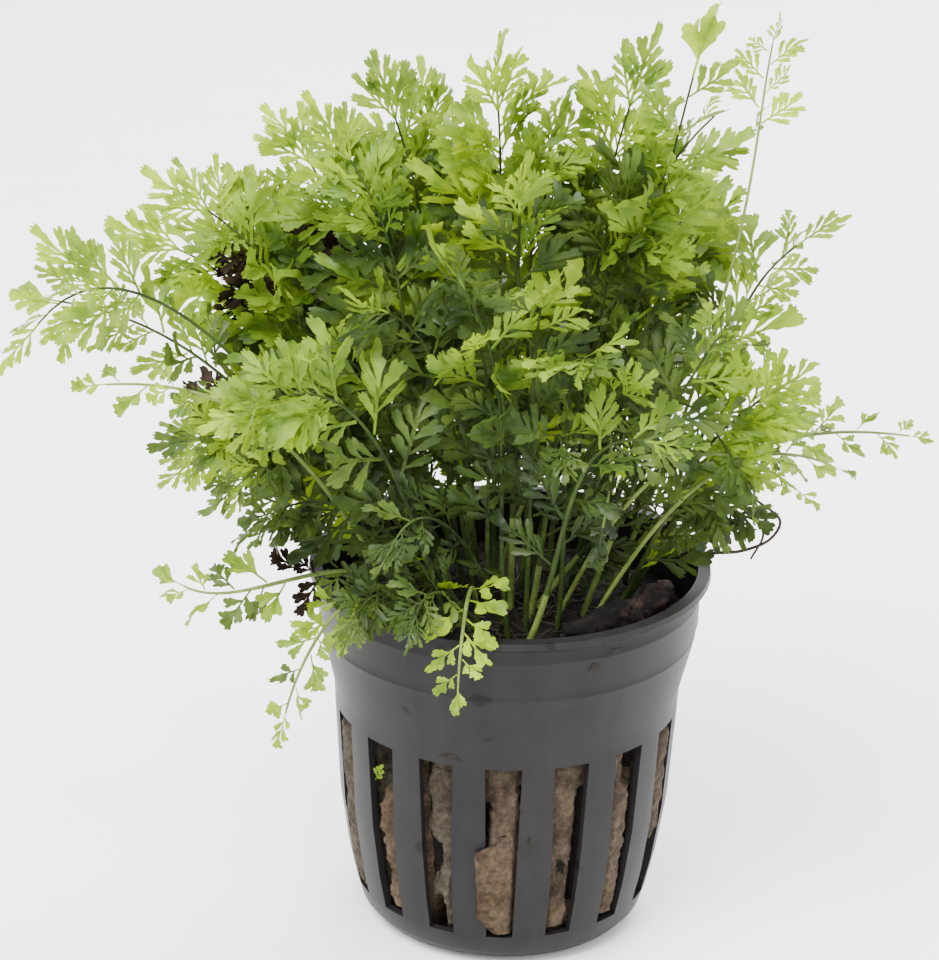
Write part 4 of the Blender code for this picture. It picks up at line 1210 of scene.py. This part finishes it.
def pot_angles(radius, z):
    """Angles of the columns of one level, slots first in each sector, at the slots' width there."""
    half = math.asin(slot_half_width(z) / radius)
    sector = 2 * math.pi / SLOT_COUNT
    angles = []
    for k in range(SLOT_COUNT):
        middle = k * sector
        angles += [middle - half + 2 * half * j / SLOT_STEPS for j in range(SLOT_STEPS)]
        angles += [middle + half + (sector - 2 * half) * j / RIB_STEPS for j in range(RIB_STEPS)]
    return angles


def pot_surface(z):
    """Radius of the pot's outside at a height."""
    rows = POT_BELOW_SLOTS + POT_SLOT_ROWS + POT_ABOVE_SLOTS
    return float(np.interp(z, [h for _, h in rows], [r for r, _ in rows]))


def moulded_profile():
    """The profile above the slots, with two faint steps in its band."""
    band = [row for row in POT_ABOVE_SLOTS if row[1] < BAND_TOP]
    for z in MOULD_LINES:
        r, top = pot_surface(z), z + MOULD_HEIGHT
        out = r + MOULD_STEP
        band += [(r, z), (out, z + MOULD_EDGE), (out, top), (r, top + MOULD_EDGE)]
    return sorted(band, key=lambda row: row[1]) + [row for row in POT_ABOVE_SLOTS if row[1] >= BAND_TOP]


def dirt_fleck(number):
    """A thin uneven fleck of dirt on the pot's outside."""
    angle, height, half_width, half_height = DIRT[number]
    scale, step = DIRT_NOISE
    points = []
    for ring in range(DIRT_RINGS + 1):
        tilt = math.pi * (ring / DIRT_RINGS - 0.5)
        for k in range(DIRT_SIDES):
            turn = 2 * math.pi * k / DIRT_SIDES
            uneven = noise.noise(Vector((scale * math.cos(turn), scale * math.sin(turn), step * number)))
            size = math.cos(tilt) * (1.0 + DIRT_UNEVEN * uneven)
            across, z = half_width * size * math.cos(turn), height + half_height * size * math.sin(turn)
            radius = pot_surface(z) + DIRT_LIFT + DIRT_THICKNESS * (1.0 + math.sin(tilt)) / 2
            a = math.radians(angle) + across / radius
            points.append((radius * math.sin(a), -radius * math.cos(a), z))
    return points, ring_faces(DIRT_RINGS + 1, DIRT_SIDES)


def pot_mesh():
    """The pot's closed wall as one grid of rows and columns, with walls round each slot."""
    inside_band = [(r - WALL, z) for r, z in reversed(POT_SLOT_ROWS)]
    above = moulded_profile()
    profile = POT_BELOW_SLOTS + POT_SLOT_ROWS + above + POT_INSIDE_ABOVE + inside_band + POT_INSIDE_BELOW
    first = len(POT_BELOW_SLOTS)
    last = first + len(POT_SLOT_ROWS) - 1
    inner_first = last + 1 + len(above) + len(POT_INSIDE_ABOVE)
    inner_last = inner_first + len(POT_SLOT_ROWS) - 1
    sector = SLOT_STEPS + RIB_STEPS
    columns = sector * SLOT_COUNT

    def at(row, column):
        return row * columns + column % columns

    def patch(low, high, start, end):
        return at(low, start), at(low, end), at(high, end), at(high, start)

    faces = []
    for row in range(len(profile) - 1):
        in_band = first <= row < last or inner_first <= row < inner_last
        for column in range(columns):
            if not in_band or column % sector >= SLOT_STEPS:
                faces.append(patch(row, row + 1, column, column + 1))
    for left in range(0, columns, sector):
        right = left + SLOT_STEPS
        for column in range(left, right):
            faces.append(patch(first, inner_last, column, column + 1))
            faces.append(patch(last, inner_first, column + 1, column))
        for step in range(len(POT_SLOT_ROWS) - 1):
            outer, inner = first + step, inner_last - step
            faces.append((at(outer, left), at(inner, left), at(inner - 1, left), at(outer + 1, left)))
            faces.append((at(outer + 1, right), at(inner - 1, right), at(inner, right), at(outer, right)))
    faces.append(tuple(reversed(range(columns))))
    faces.append(tuple(at(len(profile) - 1, column) for column in range(columns)))
    return [(r * math.sin(a), -r * math.cos(a), z) for r, z in profile for a in pot_angles(r, z)], faces


def build_pot(mats):
    points, faces = pot_mesh()
    plastic, dirt = "pot_plastic_satin", "pot_dirt"
    looks = [plastic] * len(faces)
    for number in range(len(DIRT)):
        join(points, faces, looks, dirt_fleck(number), dirt)
    ob = add_piece("net_pot_moulding", points, faces, mats, [plastic, dirt], looks, POT_CREASE)
    rounding = ob.modifiers.new("edge_rounding", "BEVEL")
    rounding.width = EDGE_ROUND * MM
    rounding.segments = 2
    rounding.limit_method = "ANGLE"
    rounding.angle_limit = math.radians(EDGE_ANGLE)
    rounding.use_clamp_overlap = True
    belongs(ob, "net_pot")


# Mineral wool

def lump(x, y, z, scale, seed):
    """Layered noise from about -1 to 1."""
    value = 0.0
    for layer in range(NOISE_LAYERS):
        grow = scale * LAYER_GROWTH ** layer
        value += noise.noise(Vector((x * grow + seed, y * grow, z * grow))) / LAYER_FADE ** layer
    return value


def wool_noise(x, y, z, kind):
    return lump(NOISE_RADIUS * x, NOISE_RADIUS * y, z, *kind)


def soft_range(value, low, high, edge):
    """1 inside a range and 0 outside it, with soft edges."""
    return float(np.interp(value, [low - edge, low, high, high + edge], [0.0, 1.0, 1.0, 0.0]))


def wool_step(slot, across, z, wobble):
    """How far the wool stands out at a place, from the patches with wobbly edges."""
    change = 0.0
    for number, left, right, low, high, step in WOOL_PATCHES:
        if number == slot:
            share = soft_range(across + PATCH_WOBBLE[0] * wobble, left, right, PATCH_EDGES[0])
            change += step * share * soft_range(z + PATCH_WOBBLE[1] * wobble, low, high, PATCH_EDGES[1])
    return max(change, PATCH_DEEPEST)


def wool_columns():
    """Slot, place across it from -1 to 1, way along the rib beside it and way across it, for each column."""
    columns = []
    for slot in range(SLOT_COUNT):
        for k in range(WOOL_SLOT_COLUMNS):
            across = WOOL_SLOT_MARGIN * (2.0 * k / WOOL_SLOT_COLUMNS - 1.0)
            columns.append((slot, across, 0.0, k / (WOOL_SLOT_COLUMNS - 1)))
        for k in range(WOOL_RIB_COLUMNS):
            columns.append((slot, WOOL_SLOT_MARGIN, k / WOOL_RIB_COLUMNS, 1.0))
    return columns


def bulged_place(share, across, radius, z, wobble, fine):
    """Place across and radius of the front slot's wool, which bulges out and then aside over the rib."""
    shares, places, clears = zip(*BULGE_PATH)
    low = BULGE_RANGE[0] + BULGE_FOOT * (1.0 - share) ** 2
    high = BULGE_RANGE[1] + BULGE_SLANT * share
    outward = soft_range(z, low, high, BULGE_SLOPE if z > high else BULGE_SPREAD)
    aside = 0.0
    if outward > BULGE_ASIDE_FROM:
        aside = soft_range(z + wobble, low + BULGE_SPREAD, high - BULGE_TOP_SPACE, BULGE_SPREAD)
    clear = float(np.interp(share, shares, clears))
    rough = BULGE_ROUGH[0] * wobble + BULGE_ROUGH[1] * fine if clear > BULGE_ROUGH_FROM else 0.0
    reach = pot_surface(z) + max(clear + rough, min(clear, BULGE_CLEAR))
    loose = BULGE_LOOSE * wobble if clear > BULGE_LOOSE_FROM else 0.0
    place = float(np.interp(share, shares, places)) + loose
    return across + aside * (place - across), radius + outward * max(0.0, reach - radius)


def wool_point(column, r, z, half_angle):
    """A point of the plug, and how far it is set back there; r is None on the side."""
    slot, across, rib, share = column
    sector = 2 * math.pi / SLOT_COUNT
    angle = slot * sector + across * half_angle + rib * (sector - 2 * half_angle * WOOL_SLOT_MARGIN)
    x, y = math.sin(angle), -math.cos(angle)
    rough = wool_noise(x, y, z, LUMPS) * LUMP_STRENGTH
    fine = wool_noise(x, y, z, GRAINS)
    if r is not None:
        lift = TOP_LUMPS[0] * min(TOP_LUMPS[1], rough) + TOP_GRAINS[0] * min(TOP_GRAINS[1], fine)
        return (r * x, r * y, z + lift - TOP_GRAINS[0]), 0.0
    wobble = WOBBLE_SHARES[0] * rough + WOBBLE_SHARES[1] * wool_noise(x, y, z, WAVES)
    open_share, step = 0.0, 0.0
    if rib == 0.0:
        open_share = max(0.0, 1.0 - abs(across) ** 4)
        open_share *= soft_range(z, SLOT_BOTTOM_Z + SLOT_END_SPACE, SLOT_TOP_Z - SLOT_END_SPACE, SLOT_FADE)
        step = wool_step(slot, across, z, wobble)
    recess = max(0.0, DENT_DEPTH * (DENT_UNDER - rough)) - step
    outward = min(WOOL_BULGE * open_share + GRAIN_HEIGHT * min(fine, GRAIN_LIMIT), WOOL_REACH)
    radius = wool_radius(z) + outward - max(recess, 0.0) + max(-recess, 0.0) * open_share
    if slot == BULGE_SLOT and rib == 0.0:
        aside, radius = bulged_place(share, across, radius, z, wobble, fine)
        angle = slot * sector + aside * half_angle
    return (radius * math.sin(angle), -radius * math.cos(angle), z), recess


def wool_look(slot, z, depth):
    """Material of the plug's side at a place; deep recesses get near-black painted shade."""
    if depth > PAINTED_SHADE_DEPTH:
        return "wool_gap"
    if slot in GREY_WOOL:
        return "wool_fibre_grey"
    if any(slot == number and low < z < high for number, low, high in PALE_WOOL):
        return "wool_fibre_pale"
    return "wool_fibre"


def rootlet(k):
    """A thin dark rootlet on the wool's top."""
    radius = ROOTLET_REACH[0] * math.sqrt(spread(k, 51))
    angle, turn = ABOUT_A_TURN * spread(k, 52), ABOUT_A_TURN * spread(k, 53)
    line = []
    for step in range(ROOTLET_POINTS):
        along = ROOTLET_LENGTH * (step / (ROOTLET_POINTS - 1) - 0.5)
        x = radius * math.sin(angle) + along * math.cos(turn)
        y = -radius * math.cos(angle) + along * math.sin(turn)
        x += ROOTLET_SWING * math.sin(ROOTLET_BENDS[0] * step + k)
        y += ROOTLET_SWING * math.cos(ROOTLET_BENDS[1] * step + k)
        reach = math.hypot(x, y)
        inside = min(1.0, ROOTLET_REACH[1] / reach)
        height = wool_top(reach * inside) + ROOTLET_LIFT[0] + ROOTLET_LIFT[1] * spread(k, step)
        line.append((x * inside, y * inside, height))
    return tube_rings(line, [ROOTLET_RADIUS] * ROOTLET_POINTS, ROOTLET_SIDES)


def build_wool(mats):
    """The plug's grainy side with near-black painted shade in its deep gaps, its rough top painted near-black
    as shade, and the rootlets on it.
    """
    heights = np.linspace(WOOL_BOTTOM[1] + WOOL_SIDE_FOOT, WOOL_ROWS[-1], WOOL_SIDE_ROWS)
    profile = [WOOL_BOTTOM] + [(None, z) for z in heights]
    profile += [(r, wool_top(r)) for r in np.linspace(*WOOL_TOP_RADII, WOOL_TOP_ROWS)]
    columns = wool_columns()
    points, depths = [], []
    for r, z in profile:
        half_angle = math.asin(slot_half_width(z) / inner_radius(z))
        for column in columns:
            point, depth = wool_point(column, r, z, half_angle)
            points.append(point)
            depths.append(depth)
    faces = ring_faces(len(profile), len(columns))
    looks = ["wool_fibre", "wool_top_dark"]
    for row, (_, z) in enumerate(profile[:-1]):
        # the top, and the side above this height, take the near-black painted shade
        dark = z > SHADED_TOP_FROM_Z or profile[row + 1][0] is not None
        for (slot, *_), depth in zip(columns, depths[row * len(columns):]):
            looks.append("wool_top_dark" if dark else wool_look(slot, z, depth))
    for k in range(ROOTLETS):
        join(points, faces, looks, rootlet(k), "wiry_root")
    template_seed, seed = SCRAP_SEEDS
    scrap = leaflet_mesh(leaflet_template(YOUNG_KINDS[1], template_seed), SCRAP_PLACE, SCRAP_LENGTH, seed)
    join(points, faces, looks, scrap, "leaf_light")
    ob = add_piece("mineral_wool_plug", points, faces, mats, WOOL_LOOKS, looks, SOFT_CREASE)
    belongs(ob, "mineral_wool")


# Rhizome and roots

def build_rhizome(mats):
    """The lumpy rootstock, bare at its right end and painted near-black as shade to the left, like the wool's
    top.
    """
    line = smooth_line(RHIZOME_LINE, RHIZOME_STEPS)
    last = len(RHIZOME_RADII) - 1
    radii = np.interp(np.linspace(0, last, len(line)), range(last + 1), RHIZOME_RADII)
    points, faces = tube_rings(line, radii, RHIZOME_SIDES)
    rough = []
    for i, p in enumerate(points):
        centre = line[i // RHIZOME_SIDES]
        swell = RHIZOME_SWELL
        for strength, scale, seed in (RHIZOME_LUMPS, RHIZOME_GRAINS):
            swell += strength * lump(*p, scale, seed)
        rough.append(centre + (p - centre) * float(np.clip(swell, *RHIZOME_LIMITS)))
    strength, scale, seed = SHADE_EDGE_NOISE
    looks = []
    for face in faces:
        place = rough[face[0]]
        # the covered part takes the wool top's near-black painted shade
        bare = place[0] >= RHIZOME_BARE_FROM + strength * lump(*place, scale, seed)
        looks.append("rootstock" if bare else "wool_top_dark")
    ob = add_piece("rootstock", rough, faces, mats, ["rootstock", "wool_top_dark"], looks, SOFT_CREASE)
    belongs(ob, "rhizome")


def build_roots(mats):
    for name, line in ROOTS.items():
        course = smooth_line(line, ROOT_STEPS)
        radii = ROOT_RADIUS * np.linspace(1.0, ROOT_TAPER, len(course))
        ob = add_piece("wiry_" + name, *tube_rings(course, radii, ROOT_SIDES), mats, ["wiry_root"])
        belongs(ob, name)


# Floor, lights and camera

def add_camera():
    camera = bpy.data.cameras.new("photo_camera")
    camera.sensor_fit = "HORIZONTAL"
    camera.sensor_width = SENSOR_WIDTH
    camera.lens = FOCAL_PIXELS / IMAGE_SIZE[0] * SENSOR_WIDTH
    camera.shift_x = (IMAGE_SIZE[0] / 2 - VIEW_CENTRE[0]) / IMAGE_SIZE[0]
    camera.shift_y = (VIEW_CENTRE[1] - IMAGE_SIZE[1] / 2) / IMAGE_SIZE[0]
    camera.clip_start = CAMERA_NEAR
    ob = bpy.data.objects.new("photo_camera", camera)
    ob.location = (0.0, -CAMERA_DISTANCE * math.cos(CAMERA_ELEVATION),
                   CAMERA_AIM_Z + CAMERA_DISTANCE * math.sin(CAMERA_ELEVATION))
    ob.rotation_euler = (math.pi / 2 - CAMERA_PITCH, 0.0, CAMERA_YAW)
    bpy.context.scene.collection.objects.link(ob)
    bpy.context.scene.camera = ob


def add_area_light(name, place, size, power):
    light = bpy.data.lights.new(name, "AREA")
    light.shape = "DISK"
    light.size = size
    light.energy = power
    ob = bpy.data.objects.new(name, light)
    ob.location = place
    ob.rotation_euler = (Vector(LIGHT_AIM) - Vector(place)).to_track_quat("-Z", "Y").to_euler()
    bpy.context.scene.collection.objects.link(ob)


def add_floor():
    mesh = bpy.data.meshes.new("studio_floor")
    corners = [(x * FLOOR_HALF, y * FLOOR_HALF, 0) for x, y in ((-1, -1), (1, -1), (1, 1), (-1, 1))]
    mesh.from_pydata(corners, [], [(0, 1, 2, 3)])
    mat, tree = nodes_of("studio_paper")
    surface(tree, ramp_colour(tree, noise_node(tree, *PAPER_GRAIN), PAPER_TONES), *PAPER_FINISH)
    mesh.materials.append(mat)
    ob = bpy.data.objects.new("studio_floor", mesh)
    bpy.context.scene.collection.objects.link(ob)


def add_lights():
    world = bpy.data.worlds.new("studio_sky")
    bpy.context.scene.world = world
    world.use_nodes = True
    background = world.node_tree.nodes["Background"]
    background.inputs["Color"].default_value = (1.0, 1.0, 1.0, 1.0)
    background.inputs["Strength"].default_value = SKY_STRENGTH
    for name, facts in LIGHTS.items():
        add_area_light(name, *facts)


def build():
    mats = make_materials()
    build_pot(mats)
    build_wool(mats)
    build_rhizome(mats)
    build_roots(mats)
    build_fronds(mats)
    add_floor()
    add_lights()
    add_camera()


build()
